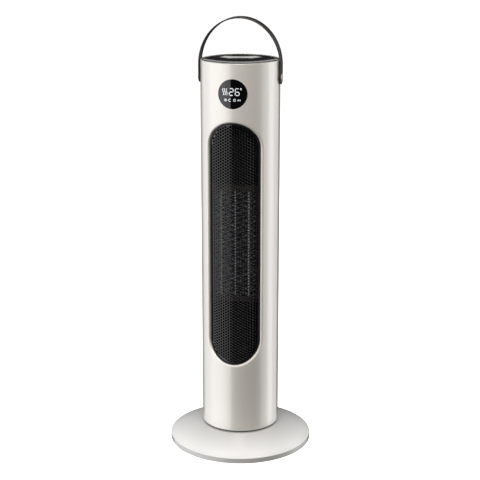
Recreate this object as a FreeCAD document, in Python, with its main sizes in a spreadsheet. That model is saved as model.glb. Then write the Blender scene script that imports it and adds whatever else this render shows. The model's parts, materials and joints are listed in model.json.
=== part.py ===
import FreeCAD, Part
import math
import os
import types

import Sketcher

Vector = FreeCAD.Vector

# A ceramic tower heater: a round column that turns on a weighted base, with a fold-down bail handle.
# The front faces -Y, +Z is up and the origin is on the floor under the middle of the base.
# Lengths are in millimetres and angles in degrees.
SIZES = {
    # Column casing: a straight round shell in two halves.
    "column_radius": 62.5,
    "column_wall": 2.5,
    "column_bottom": 33.0,
    "column_top": 632.0,
    "column_edge": 0.8,
    "seam_depth": 12.0,
    "seam_gap": 0.2,
    "boss_radius": 4.0,
    "floor_boss_top": 50.0,
    # Outlet opening in the front shell: upright, with half-round ends.
    "outlet_radius": 40.0,
    "outlet_low": 146.5,
    "outlet_high": 541.0,
    "lip_width": 3.5,
    "lip_depth": 6.0,
    "lip_round": 3.2,
    # Black frame and grille inside the outlet.
    "frame_gap": 0.3,
    "frame_wall": 2.0,
    "frame_step": 3.0,
    "frame_back": 34.0,
    "frame_overlap": 3.5,
    "flange_wall": 2.1,
    "grille_step": 4.0,
    "grille_wall": 1.2,
    "grille_pitch": 9.0,
    "grille_web": 1.5,
    "grille_border": 1.0,
    "baffle_wall": 2.0,
    # Heating element.
    "heater_half_width": 36.0,
    "heater_front": 44.0,
    "heater_back": 24.0,
    "heater_low": 250.0,
    "heater_high": 440.0,
    "heater_side": 3.0,
    "heater_end": 9.0,
    "heater_screw_x": 29.0,
    "blade_x": 10.0,
    "blade_width": 6.0,
    "blade_wall": 0.8,
    "blade_length": 12.0,
    "blade_depth": 32.0,
    "ptc_spacing": 22.0,
    "ptc_width": 2.6,
    "ptc_wall": 0.4,
    "ptc_recess": 2.0,
    "ptc_count": 7,
    "stone_length": 22.0,
    "stone_cover": 0.5,
    "fin_pitch": 4.0,
    "fin_wall": 0.4,
    # Thermal guards on top of the heater frame.
    "guard_x": 23.0,
    "cutout_y": -26.0,
    "cutout_radius": 7.0,
    "cutout_height": 8.0,
    "cutout_flange": 1.0,
    "cutout_half_flange": 9.0,
    "fuse_y": -28.0,
    "fuse_radius": 2.0,
    "fuse_length": 10.0,
    "fuse_lead": 4.0,
    # Display window above the outlet.
    "display_height": 586.0,
    "display_radius": 22.8,
    "display_gap": 0.1,
    "display_flange": 3.0,
    "display_flange_wall": 1.8,
    "display_board_front": -52.0,
    "display_holder_wall": 2.0,
    "module_width": 26.0,
    "module_height": 16.0,
    "module_depth": 4.0,
    # Dished top.
    "dish_depth": 5.0,
    "dish_rim": 58.0,
    "top_drop": 0.5,
    "top_skirt": 19.0,
    "panel_radius": 36.0,
    "panel_gap": 0.2,
    "panel_wall": 1.2,
    "peg_circle": 24.0,
    "peg_radius": 3.0,
    "peg_length": 6.0,
    "control_board_radius": 32.0,
    # Handle.
    "pivot_height": 604.0,
    "handle_inside": 63.4,
    "handle_wall": 2.2,
    "handle_width": 20.0,
    "handle_arch_start": 623.0,
    "handle_top": 697.0,
    "handle_edge": 0.9,
    "pin_radius": 3.0,
    "pin_head_radius": 6.0,
    "pin_head_height": 1.2,
    "pin_end": 54.0,
    "clip_place": 54.6,
    "clip_wall": 1.0,
    "clip_radius": 5.5,
    "running_gap": 0.05,
    "bush_radius": 5.0,
    "bush_end": 56.0,
    "bush_flange_radius": 7.5,
    "bush_flange_wall": 0.6,
    # Base.
    "base_radius": 116.0,
    "rim_top": 9.0,
    "rim_round": 0.6,
    "dome_radius": 300.0,
    "foot_height": 0.8,
    "foot_radius": 9.0,
    "foot_circle": 98.0,
    "plateau_radius": 64.0,
    "plateau_height": 30.0,
    "base_wall": 2.5,
    "plate_wall": 2.0,
    "recess_radius": 47.0,
    "recess_height": 27.0,
    "weight_radius": 96.0,
    "weight_height": 6.0,
    "weight_gap": 0.5,
    "base_screw_inset": 12.5,
    "base_screw_head": 0.6,
    "base_boss_rise": 2.5,
    "base_screw_rise": 1.0,
    # Swivel.
    "post_radius": 14.0,
    "post_bore": 10.0,
    "post_top": 43.0,
    "post_flange_radius": 30.0,
    "post_flange_wall": 3.0,
    "post_screw_circle": 22.0,
    "race_inside": 34.0,
    "race_outside": 46.0,
    "race_gap": 1.0,
    "race_seat": 2.0,
    "ball_radius": 2.5,
    "ball_circle": 40.0,
    "ball_height": 31.5,
    "ball_count": 24,
    "gear_module": 1.0,
    "gear_teeth": 48,
    "pinion_teeth": 12,
    "gear_height": 5.0,
    "gear_backlash": 0.2,
    "gear_bore": 9.0,
    "gear_screw_circle": 12.0,
    "gear_screw_radius": 1.0,
    "gear_screw_head": 2.0,
    "gear_screw_head_height": 1.4,
    "gear_screw_grip": 7.0,
    "pinion_shaft_radius": 2.5,
    # Floor plate of the column.
    "floor_low": 34.0,
    "floor_high": 38.0,
    "hub_radius": 18.0,
    "hub_top": 42.6,
    "floor_screw_circle": 54.5,
    "floor_rib_circle": 58.0,
    "floor_rib_radius": 2.6,
    # Swivel gear motor.
    "swivel_motor_y": 38.0,
    "swivel_motor_low": 52.0,
    "swivel_motor_radius": 14.0,
    "swivel_motor_height": 19.0,
    "swivel_motor_ear": 17.5,
    "swivel_ear_round": 3.5,
    "swivel_ear_wall": 1.0,
    "swivel_boss_radius": 4.5,
    "swivel_boss_height": 2.5,
    "swivel_post_grip": 8.0,
    # Blower.
    "blower_y": 8.0,
    "impeller_radius": 28.0,
    "impeller_low": 257.0,
    "impeller_high": 433.0,
    "impeller_disc": 2.0,
    "impeller_hub": 7.0,
    "impeller_low_hub": 9.0,
    "impeller_high_hub": 8.0,
    "impeller_ring_wall": 1.2,
    "blade_count": 24,
    "vane_depth": 6.5,
    "vane_inset": 0.3,
    "shaft_radius": 3.0,
    "duct_low": 251.0,
    "duct_high": 439.0,
    "duct_wall": 3.0,
    "scroll_radius": 33.0,
    "scroll_wall": 2.5,
    "duct_radius": 54.0,
    "duct_back": 42.0,
    "tongue_end": -6.0,
    "holder_radius": 14.0,
    "holder_wall": 3.0,
    "holder_plug": 10.0,
    # Fan motor.
    "motor_radius": 24.0,
    "motor_low": 200.0,
    "motor_high": 238.0,
    "motor_wall": 1.5,
    "motor_core_inset": 8.0,
    "motor_core_inside": 14.3,
    "rotor_radius": 14.0,
    "winding_outside": 21.5,
    "winding_inside": 15.5,
    "winding_height": 4.0,
    "motor_bush_radius": 6.0,
    "bracket_radius": 26.0,
    "bracket_wall": 2.0,
    "bracket_lug": 7.0,
    "damper_circle": 30.0,
    "damper_radius": 5.0,
    # Intake and filter in the rear shell.
    "intake_low": 252.0,
    "intake_pitch": 5.0,
    "intake_rows": 38,
    "intake_slot": 2.4,
    "intake_length": 22.0,
    "intake_rib": 4.0,
    "rear_depth": 30.0,
    "sunk_head_radius": 3.2,
    "sunk_head_depth": 7.0,
    "sunk_boss_length": 17.0,
    "filter_half_width": 40.0,
    "filter_wall": 2.6,
    "filter_gap": 0.2,
    "filter_bar": 4.0,
    "filter_mesh_wall": 0.4,
    "filter_mesh_inset": 1.0,
    "filter_margin": 8.0,
    # Boards and cord gland.
    "board_wall": 1.6,
    "board_back": -18.4,
    "board_half_width": 34.0,
    "board_low": 62.0,
    "board_high": 190.0,
    "board_screw_x": 31.0,
    "board_post_width": 6.0,
    "gland_height": 100.0,
    "gland_bore": 3.6,
    "gland_radius": 6.0,
    "gland_flange": 9.0,
    "gland_flange_wall": 2.5,
    "gland_inside": 50.0,
    # Screws.
    "screw_radius": 1.5,
    "screw_head": 2.8,
    "screw_head_height": 2.0,
}


class Size:
    """A length, angle or count: its number, and the expression that gives it from the sheet."""

    def __init__(self, number, text, tied=True):
        self.number = number
        self.text = text
        self.tied = tied

    def __add__(self, other):
        return combine(self, "+", other)

    def __radd__(self, other):
        return combine(other, "+", self)

    def __sub__(self, other):
        return combine(self, "-", other)

    def __rsub__(self, other):
        return combine(other, "-", self)

    def __mul__(self, other):
        return combine(self, "*", other)

    def __rmul__(self, other):
        return combine(other, "*", self)

    def __truediv__(self, other):
        return combine(self, "/", other)

    def __neg__(self):
        return combine(0, "-", self)


def as_size(value):
    if isinstance(value, Size):
        return value
    return Size(float(value), f"({float(value)!r})", tied=False)


def combine(left, sign, right):
    left = as_size(left)
    right = as_size(right)
    results = {
        "+": left.number + right.number,
        "-": left.number - right.number,
        "*": left.number * right.number,
    }
    if sign == "/":
        results["/"] = left.number / right.number
    return Size(results[sign], f"({left.text} {sign} {right.text})", left.tied or right.tied)


def on_circle(radius, angle):
    """The x and y of a point on a circle about the column's axis."""
    turn = math.radians(angle)
    return radius * math.cos(turn), radius * math.sin(turn)


doc = FreeCAD.newDocument("TowerHeater")
sheet = doc.addObject("Spreadsheet::Sheet", "Sizes")
for row, (alias, number) in enumerate(SIZES.items(), start=1):
    sheet.set(f"A{row}", alias)
    sheet.set(f"B{row}", str(number))
    sheet.setAlias(f"B{row}", alias)
doc.recompute()

s = types.SimpleNamespace(**{alias: Size(float(sheet.get(alias)), f"Sizes.{alias}") for alias in SIZES})
pieces = []

TURNS = {
    "Z": FreeCAD.Rotation(),
    "X": FreeCAD.Rotation(Vector(0, 1, 0), 90),
    "Y": FreeCAD.Rotation(Vector(1, 0, 0), -90),
}


# ---------------------------------------------------------------- building blocks


def bind(item, name, value):
    """Give a property its number, and tie it to the sheet where the number comes from there."""
    value = as_size(value)
    setattr(item, name, value.number)
    if value.tied:
        item.setExpression(name, value.text)


def place(item, at, rotation=TURNS["Z"]):
    at = [as_size(value) for value in at]
    item.Placement = FreeCAD.Placement(Vector(*[value.number for value in at]), rotation)
    for letter, value in zip("xyz", at):
        if value.tied:
            item.setExpression(f"Placement.Base.{letter}", value.text)


def cylinder(name, radius, length, at, along="Z"):
    """A cylinder whose first end has its centre at the given point."""
    item = doc.addObject("Part::Cylinder", name)
    bind(item, "Radius", radius)
    bind(item, "Height", length)
    place(item, at, TURNS[along])
    return item


def disc(name, radius, low, high, x=0, y=0):
    """An upright cylinder between two heights."""
    return cylinder(name, radius, high - low, (x, y, low))


def box(name, low, high):
    """A block between its lowest and highest corners."""
    item = doc.addObject("Part::Box", name)
    for side, start, end in zip(("Length", "Width", "Height"), low, high):
        bind(item, side, as_size(end) - start)
    place(item, low)
    return item


def sphere(name, radius, at):
    item = doc.addObject("Part::Sphere", name)
    bind(item, "Radius", radius)
    place(item, at)
    return item


def torus(name, ring_radius, tube_radius, height):
    item = doc.addObject("Part::Torus", name)
    bind(item, "Radius1", ring_radius)
    bind(item, "Radius2", tube_radius)
    place(item, (0, 0, height))
    return item


def fuse(name, *items):
    item = doc.addObject("Part::MultiFuse", name)
    item.Shapes = list(items)
    return item


def cut(name, base, *tools):
    item = doc.addObject("Part::Cut", name)
    item.Base = base
    item.Tool = tools[0] if len(tools) == 1 else fuse(name + "_tools", *tools)
    return item


def common(name, first, second):
    item = doc.addObject("Part::Common", name)
    item.Base = first
    item.Tool = second
    return item


def group(name, *items):
    """Separate solids that share one node."""
    item = doc.addObject("Part::Compound", name)
    item.Links = list(items)
    return item


def tube(name, outside, inside, low, high, x=0, y=0):
    """An upright tube between two heights."""
    return cut(
        name,
        disc(name + "_outside", outside, low, high, x, y),
        disc(name + "_inside", inside, low, high, x, y),
    )


def custom(name, shape):
    """A shape that neither a primitive nor a sketch describes well."""
    item = doc.addObject("Part::Feature", name)
    item.Shape = shape
    return item


def keep(item, label):
    """Hand a finished sub-part over for export, under the name of its node."""
    item.Label = label
    pieces.append(item)
    return item


def screw(name, at, tip, along="Z", head_up=True):
    """A pan-head screw: at is the point under its head, tip the far end of its shank along the axis."""
    axis = "XYZ".index(along)
    ends = [as_size(at[axis]), as_size(tip)]
    ends.sort(key=lambda end: end.number)
    shank_start = list(at)
    shank_start[axis] = ends[0]
    head_start = list(at)
    if not head_up:
        head_start[axis] = at[axis] - s.screw_head_height
    shank = cylinder(name + "_shank", s.screw_radius, ends[1] - ends[0], shank_start, along)
    head = cylinder(name + "_head", s.screw_head, s.screw_head_height, head_start, along)
    return fuse(name, shank, head)


def origin_plane(body, role):
    return [item for item in body.Origin.OriginFeatures if item.Role == role][0]


def new_sketch(body, name, role, offset=0):
    """A sketch on one of the body's own origin planes, moved along that plane's normal."""
    sketch = body.newObject("Sketcher::SketchObject", name)
    sketch.AttachmentSupport = [(origin_plane(body, role), "")]
    sketch.MapMode = "FlatFace"
    offset = as_size(offset)
    sketch.AttachmentOffset = FreeCAD.Placement(Vector(0, 0, offset.number), FreeCAD.Rotation())
    if offset.tied:
        sketch.setExpression("AttachmentOffset.Base.z", offset.text)
    return sketch


def tie(sketch, constraint, value):
    """Add a sketch dimension and bind it to the sheet."""
    index = sketch.addConstraint(constraint)
    if value.tied:
        sketch.setExpression(f"Constraints[{index}]", value.text)


def hold(sketch, edge, end, x, y):
    """Hold one end of an edge at its two distances from the sketch's origin."""
    for kind, axis, value in (("DistanceX", -2, as_size(x)), ("DistanceY", -1, as_size(y))):
        if value.number == 0:
            sketch.addConstraint(Sketcher.Constraint("PointOnObject", edge, end, axis))
        else:
            tie(sketch, Sketcher.Constraint(kind, -1, 1, edge, end, value.number), value)


def arc_edge(start, end, radius):
    """A sketch arc, always stored anticlockwise. A positive radius runs anticlockwise from start to end."""
    chord = end - start
    across = Vector(-chord.y, chord.x, 0).normalize()
    rise = math.sqrt(radius**2 - (chord.Length / 2) ** 2)
    centre = (start + end) / 2 + across * math.copysign(rise, radius)
    first, last = (start, end) if radius > 0 else (end, start)
    turns = [math.atan2(point.y - centre.y, point.x - centre.x) for point in (first, last)]
    if turns[1] < turns[0]:
        turns[1] += 2 * math.pi
    return Part.ArcOfCircle(Part.Circle(centre, Vector(0, 0, 1), abs(radius)), *turns)


def outline(sketch, corners):
    """Draw a closed outline. A corner is x, y and, where the edge after it is an arc, its radius."""
    corners = [[as_size(value) for value in corner] for corner in corners]
    count = len(corners)
    for index, corner in enumerate(corners):
        after = corners[(index + 1) % count]
        start = Vector(corner[0].number, corner[1].number, 0)
        end = Vector(after[0].number, after[1].number, 0)
        if len(corner) == 2:
            sketch.addGeometry(Part.LineSegment(start, end), False)
        else:
            sketch.addGeometry(arc_edge(start, end, corner[2].number), False)
    clockwise = [len(corner) == 3 and corner[2].number < 0 for corner in corners]
    for index, corner in enumerate(corners):
        before = (index - 1) % count
        first = 2 if clockwise[index] else 1
        last = 1 if clockwise[before] else 2
        sketch.addConstraint(Sketcher.Constraint("Coincident", index, first, before, last))
        hold(sketch, index, first, corner[0], corner[1])
        if len(corner) == 3:
            radius = -corner[2] if clockwise[index] else corner[2]
            tie(sketch, Sketcher.Constraint("Radius", index, radius.number), radius)


def circle(sketch, radius, x=0, y=0):
    radius = as_size(radius)
    x = as_size(x)
    y = as_size(y)
    centre = Vector(x.number, y.number, 0)
    index = sketch.addGeometry(Part.Circle(centre, Vector(0, 0, 1), radius.number), False)
    hold(sketch, index, 3, x, y)
    tie(sketch, Sketcher.Constraint("Radius", index, radius.number), radius)


def revolved(name, corners):
    """A body turned about the Z axis from an outline of radius and height."""
    body = doc.addObject("PartDesign::Body", name)
    sketch = new_sketch(body, name + "_profile", "XZ_Plane")
    outline(sketch, corners)
    turn = body.newObject("PartDesign::Revolution", name + "_turn")
    turn.Profile = sketch
    turn.ReferenceAxis = (sketch, ["V_Axis"])
    turn.Angle = 360
    body.Tip = turn
    return body


def pad(body, sketch, name, length):
    feature = body.newObject("PartDesign::Pad", name)
    feature.Profile = sketch
    bind(feature, "Length", length)
    body.Tip = feature
    return feature


def polar_holes(body, name, radius, circle_radius, count, depth, offset=0):
    """A ring of round holes through a plate that lies on or above the body's XY plane."""
    sketch = new_sketch(body, name + "_sketch", "XY_Plane", offset)
    circle(sketch, radius, circle_radius)
    pocket = body.newObject("PartDesign::Pocket", name)
    pocket.Profile = sketch
    bind(pocket, "Length", depth)
    pocket.Reversed = True
    pattern = body.newObject("PartDesign::PolarPattern", name + "_ring")
    pattern.Originals = [pocket]
    pattern.Axis = (sketch, ["N_Axis"])
    pattern.Angle = 360
    pattern.Occurrences = count
    body.Tip = pattern


# ---------------------------------------------------------------- places shared by several pieces

COLUMN_INSIDE = s.column_radius - s.column_wall
REAR_START = s.seam_depth + s.seam_gap
RACE_TOP = s.floor_low + s.race_seat
PLATE_TOP = s.foot_height + s.plate_wall
DUCT_TOP_LOW = s.duct_high - s.duct_wall
BRACKET_TOP = s.motor_high + s.bracket_wall
TOLERANCE = 0.01
FAR = 200  # beyond every face of the column, for the tools that cut it
FRONT_LOW = 100  # below everything that is let into the front
FRONT_HIGH = s.column_top - 1

FOOT_ANGLES = range(30, 390, 60)
BASE_SCREW_ANGLES = range(0, 360, 60)
BASE_SCREW_CIRCLE = s.base_radius - s.base_screw_inset
POST_SCREW_ANGLES = range(45, 405, 90)
GEAR_SCREW_ANGLES = (0, 120, 240)
FRONT_FLOOR_SCREW_ANGLES = (225, 315)
REAR_FLOOR_SCREW_ANGLES = (45, 135)
SEAM_SCREW_X = 56
SEAM_SCREW_HEIGHTS = (66, 220, 470, 588)
BOARD_SCREW_HEIGHTS = (72, 178)
BOARD_PILOT_DEPTH = 5
# Blocks on the power board's front: name, left, low, right, high, and how far each stands out.
FRONT_BLOCKS = (
    ("left_relay", -24, 120, -9, 138, 13),
    ("right_relay", -4, 120, 11, 138, 13),
    ("transformer", -22, 70, 0, 92, 12),
)
# The same for the parts on the board's back.
TERMINAL_BLOCK = ("terminal_block", -18, 96, 18, 112, 12)
TILT_SWITCH = ("tilt_switch", 10, 148, 24, 164, 11)
CAPACITOR_PLACE = (14, 82)
CAPACITOR_RADIUS = 7
CAPACITOR_LENGTH = 12
FUSE_LEAD_RADIUS = 0.5
# A fan vane in section: half its rise from root to tip, half its thickness, and its curve's radius.
VANE_RISE = 1.6
VANE_HALF_WALL = 0.6
VANE_CURVE = 12
HEXAGON_TURNS = range(0, 420, 60)
HEATER_SCREW_HEIGHTS = (s.heater_low + s.heater_end / 2, s.heater_high - s.heater_end / 2)
HEATER_SCREW_LENGTH = 12
PEG_ANGLES = (90, 210, 330)
DAMPER_ANGLES = (90, 210, 330)
FILTER_ROWS = 3
PINION_Y = (s.gear_teeth + s.pinion_teeth) * s.gear_module / 2


def damper_places():
    """Middles of the three rubber dampers that hang the fan motor under the duct."""
    for angle in DAMPER_ANGLES:
        x, y = on_circle(SIZES["damper_circle"], angle)
        yield x, s.blower_y + y


def outlet_prism(name, grow, start, end):
    """An upright shape with half-round ends, larger than the outlet by grow, between two depths."""
    radius = s.outlet_radius + grow
    low = s.outlet_low + s.outlet_radius
    high = s.outlet_high - s.outlet_radius
    length = end - start
    return fuse(
        name,
        cylinder(name + "_low_end", radius, length, (0, start, low), "Y"),
        cylinder(name + "_high_end", radius, length, (0, start, high), "Y"),
        box(name + "_middle", (-radius, start, low), (radius, end, high)),
    )


def round_edges(name, item, chosen):
    """Round the edges that chosen picks, each with the radius it gives."""
    doc.recompute()
    edges = []
    for index, edge in enumerate(item.Shape.Edges, start=1):
        radius = chosen(edge)
        if radius:
            edges.append((index, radius, radius))
    rounded = doc.addObject("Part::Fillet", name)
    rounded.Base = item
    rounded.Edges = edges
    return rounded


def lies_on_column(edge):
    """Whether an edge runs along the column's outer surface."""
    first, last = edge.ParameterRange
    points = [edge.valueAt(first + (last - first) * part / 4) for part in range(5)]
    return all(abs(math.hypot(point.x, point.y) - SIZES["column_radius"]) < TOLERANCE for point in points)


# ---------------------------------------------------------------- base


def make_base_cover():
    """Thin domed moulding with a recess for the bearing and a skirt that stands on the plate."""
    under = s.plateau_height - s.base_wall
    shell = revolved(
        "base_cover_shell",
        [
            (s.hub_radius, s.recess_height - s.base_wall),
            (s.recess_radius - s.base_wall / 2, s.recess_height - s.base_wall),
            (s.recess_radius - s.base_wall / 2, PLATE_TOP),
            (s.recess_radius + s.base_wall, PLATE_TOP),
            (s.recess_radius + s.base_wall, under),
            (s.plateau_radius, under, -s.dome_radius),
            (s.base_radius - s.base_wall, s.rim_top - s.base_wall),
            (s.base_radius - s.base_wall, s.foot_height),
            (s.base_radius, s.foot_height),
            (s.base_radius, s.rim_top - s.rim_round, s.rim_round),
            (s.base_radius - s.rim_round, s.rim_top, s.dome_radius),
            (s.plateau_radius, s.plateau_height),
            (s.recess_radius, s.plateau_height),
            (s.recess_radius, s.recess_height),
            (s.hub_radius, s.recess_height),
        ],
    )
    bosses = []
    pilots = []
    for angle in BASE_SCREW_ANGLES:
        x, y = on_circle(BASE_SCREW_CIRCLE.number, angle)
        bosses.append(disc("base_boss", s.boss_radius, PLATE_TOP, s.rim_top + s.base_boss_rise, x, y))
        tip = s.rim_top + s.base_screw_rise
        pilots.append(disc("base_pilot", s.screw_radius, PLATE_TOP, tip, x, y))
    keep(cut("base_cover", fuse("base_cover_body", shell, *bosses), *pilots), "base_cover")


def make_base_plate():
    body = doc.addObject("PartDesign::Body", "base_plate_disc")
    sketch = new_sketch(body, "base_plate_outline", "XY_Plane", s.foot_height)
    circle(sketch, s.base_radius - s.base_wall)
    pad(body, sketch, "base_plate_pad", s.plate_wall)
    count = len(BASE_SCREW_ANGLES)
    polar_holes(body, "cover_holes", s.screw_radius, BASE_SCREW_CIRCLE, count, s.plate_wall, s.foot_height)
    holes = []
    for angle in POST_SCREW_ANGLES:
        x, y = on_circle(SIZES["post_screw_circle"], angle)
        holes.append(disc("post_hole", s.screw_radius, s.foot_height, PLATE_TOP, x, y))
    keep(cut("base_plate", body, *holes), "base_plate")


def make_base_weight():
    """Steel ring that keeps the tall column from tipping."""
    inside = s.recess_radius + s.base_wall + s.weight_gap
    high = PLATE_TOP + s.weight_height
    keep(tube("base_weight", s.weight_radius, inside, PLATE_TOP, high), "base_weight")


def make_base_feet():
    pads = []
    for angle in FOOT_ANGLES:
        x, y = on_circle(SIZES["foot_circle"], angle)
        pads.append(disc("base_foot", s.foot_radius, 0, s.foot_height, x, y))
    keep(group("base_feet", *pads), "base_feet")


def gear_screw_places():
    return [on_circle(SIZES["gear_screw_circle"], angle) for angle in GEAR_SCREW_ANGLES]


def make_base_screws():
    """Screws up through the bottom plate, and the small ones that hold the ring gear on its post."""
    screws = []
    for angle in BASE_SCREW_ANGLES:
        x, y = on_circle(BASE_SCREW_CIRCLE.number, angle)
        screws.append(thin_head_screw(x, y, s.rim_top + s.base_screw_rise))
    for angle in POST_SCREW_ANGLES:
        x, y = on_circle(SIZES["post_screw_circle"], angle)
        screws.append(thin_head_screw(x, y, PLATE_TOP + s.post_flange_wall))
    gear_top = s.post_top + s.gear_height
    head_top = gear_top + s.gear_screw_head_height
    for at in gear_screw_places():
        tip = s.post_top - s.gear_screw_grip
        shank = disc("gear_screw_shank", s.gear_screw_radius, tip, gear_top, *at)
        head = disc("gear_screw_head", s.gear_screw_head, gear_top, head_top, *at)
        screws.append(fuse("gear_screw", shank, head))
    keep(group("base_screws", *screws), "base_screws")


def thin_head_screw(x, y, tip):
    """A screw up through the bottom plate, with a head thinner than the feet."""
    shank = disc("base_screw_shank", s.screw_radius, s.foot_height, tip, x, y)
    head_low = s.foot_height - s.base_screw_head
    head = disc("base_screw_head", s.screw_head, head_low, s.foot_height, x, y)
    return fuse("base_screw", shank, head)


def make_swivel_post():
    """Hollow post that the column turns on."""
    flange_top = PLATE_TOP + s.post_flange_wall
    shell = revolved(
        "swivel_post_turned",
        [
            (s.post_bore, PLATE_TOP),
            (s.post_flange_radius, PLATE_TOP),
            (s.post_flange_radius, flange_top),
            (s.post_radius, flange_top),
            (s.post_radius, s.post_top),
            (s.post_bore, s.post_top),
        ],
    )
    holes = []
    for angle in POST_SCREW_ANGLES:
        x, y = on_circle(SIZES["post_screw_circle"], angle)
        holes.append(disc("post_pilot", s.screw_radius, PLATE_TOP, flange_top, x, y))
    for at in gear_screw_places():
        tip = s.post_top - s.gear_screw_grip
        holes.append(disc("gear_pilot", s.gear_screw_radius, tip, s.post_top, *at))
    keep(cut("swivel_post", shell, *holes), "swivel_post")


def make_bearing():
    """Two grooved races with a ring of balls between them."""
    groove = s.ball_radius + s.running_gap
    lower_top = s.ball_height - s.race_gap / 2
    upper_low = s.ball_height + s.race_gap / 2
    lower = tube("lower_ring", s.race_outside, s.race_inside, s.recess_height, lower_top)
    lower_groove = torus("lower_groove", s.ball_circle, groove, s.ball_height)
    keep(cut("lower_race", lower, lower_groove), "lower_race")
    upper = tube("upper_ring", s.race_outside, s.race_inside, upper_low, RACE_TOP)
    upper_groove = torus("upper_groove", s.ball_circle, groove, s.ball_height)
    keep(cut("upper_race", upper, upper_groove), "upper_race")
    balls = []
    for index in range(SIZES["ball_count"]):
        x, y = on_circle(SIZES["ball_circle"], index * 360 / SIZES["ball_count"])
        balls.append(sphere("bearing_ball", s.ball_radius, (x, y, s.ball_height)))
    keep(group("bearing_balls", *balls), "bearing_balls")


PRESSURE_ANGLE = math.radians(20)
STUB_ADDENDUM = 0.8
STUB_DEDENDUM = 1.1
FLANK_STEPS = 4


def gear_face(teeth, turn):
    """The face of a spur gear with stub teeth: straight chords along each involute flank."""
    module = s.gear_module.number
    pitch = module * teeth / 2
    base = pitch * math.cos(PRESSURE_ANGLE)
    tip = pitch + STUB_ADDENDUM * module
    root = pitch - STUB_DEDENDUM * module

    def involute(radius):
        pressure = math.acos(min(1, base / radius))
        return math.tan(pressure) - pressure

    half_tooth = math.pi / (2 * teeth) - s.gear_backlash.number / (2 * pitch) + involute(pitch)
    start = max(base, root)
    radii = [start + (tip - start) * step / FLANK_STEPS for step in range(FLANK_STEPS + 1)]
    points = []
    for tooth in range(int(teeth)):
        middle = 2 * math.pi * tooth / teeth + math.radians(turn)
        flank = [(root, half_tooth - involute(start))]
        flank += [(radius, half_tooth - involute(radius)) for radius in radii]
        if start == root:
            flank = flank[1:]
        points += [(radius, middle - angle) for radius, angle in flank]
        points += [(radius, middle + angle) for radius, angle in reversed(flank)]
    corners = [Vector(radius * math.cos(angle), radius * math.sin(angle), 0) for radius, angle in points]
    return Part.Face(Part.makePolygon(corners + corners[:1]))


def make_gear(label, teeth, turn, bore, y=0):
    length = s.gear_height.number
    blank = custom(label + "_teeth", gear_face(teeth.number, turn).extrude(Vector(0, 0, length)))
    place(blank, (0, y, s.post_top))
    return cut(label, blank, disc(label + "_bore", bore, s.post_top, s.post_top + s.gear_height, 0, y))


def make_swivel_gears():
    """The ring gear fixed on the post, and the pinion that walks round it."""
    ring = make_gear("swivel_gear_blank", s.gear_teeth, 0, s.gear_bore)
    holes = []
    gear_top = s.post_top + s.gear_height
    for at in gear_screw_places():
        holes.append(disc("gear_hole", s.gear_screw_radius, s.post_top, gear_top, *at))
    keep(cut("swivel_gear", ring, *holes), "swivel_gear")
    half_pitch = 180 / s.pinion_teeth.number
    radius = s.pinion_shaft_radius
    keep(make_gear("pinion", s.pinion_teeth, half_pitch, radius, PINION_Y), "pinion")
    keep(disc("pinion_shaft", radius, s.post_top, s.swivel_motor_low + 5, 0, PINION_Y), "pinion_shaft")


# ---------------------------------------------------------------- column casing and floor


def floor_screw_places(angles):
    return [on_circle(SIZES["floor_screw_circle"], angle) for angle in angles]


def make_column_floor():
    """Floor plate: hub on the post, seat for the upper race, posts for the gear motor and the board."""
    plate = revolved(
        "column_floor_plate",
        [
            (s.post_radius + s.running_gap, s.floor_low),
            (s.race_inside, s.floor_low),
            (s.race_inside, RACE_TOP),
            (s.race_outside, RACE_TOP),
            (s.race_outside, s.floor_low),
            (COLUMN_INSIDE, s.floor_low),
            (COLUMN_INSIDE, s.floor_high),
            (s.hub_radius, s.floor_high),
            (s.hub_radius, s.hub_top),
            (s.post_radius + s.running_gap, s.hub_top),
        ],
    )
    additions = []
    holes = []
    ear_low = s.swivel_motor_low - s.swivel_ear_wall
    pilot_low = ear_low - s.swivel_post_grip
    width = s.board_post_width
    for side in (-1, 1):
        x = side * s.swivel_motor_ear
        additions.append(disc("motor_post", s.boss_radius, s.floor_high, ear_low, x, s.swivel_motor_y))
        holes.append(disc("motor_pilot", s.screw_radius, pilot_low, ear_low, x, s.swivel_motor_y))
        x = side * s.board_screw_x
        low = (x - width / 2, s.board_back, s.floor_high)
        high = (x + width / 2, s.board_back + width, s.board_high - 4)
        additions.append(box("board_post", low, high))
        for height in BOARD_SCREW_HEIGHTS:
            at = (x, s.board_back, height)
            holes.append(cylinder("board_pilot", s.screw_radius, BOARD_PILOT_DEPTH, at, "Y"))
    for at in floor_screw_places(FRONT_FLOOR_SCREW_ANGLES + REAR_FLOOR_SCREW_ANGLES):
        holes.append(disc("floor_hole", s.screw_radius, s.floor_low, s.floor_high, *at))
    keep(cut("column_floor", fuse("column_floor_body", plate, *additions), *holes), "column_floor")


def floor_bosses(name, angles):
    """Bosses inside the shell that the floor plate is screwed to, and their pilot holes."""
    low = s.floor_high
    high = s.floor_boss_top
    bosses = []
    pilots = []
    for angle in angles:
        x, y = on_circle(SIZES["floor_screw_circle"], angle)
        rib_x, rib_y = on_circle(SIZES["floor_rib_circle"], angle)
        bosses.append(disc(name + "_floor_boss", s.boss_radius, low, high, x, y))
        bosses.append(disc(name + "_floor_rib", s.floor_rib_radius, low, high, rib_x, rib_y))
        pilots.append(disc(name + "_floor_pilot", s.screw_radius, low, high - 2, x, y))
    return bosses, pilots


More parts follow.
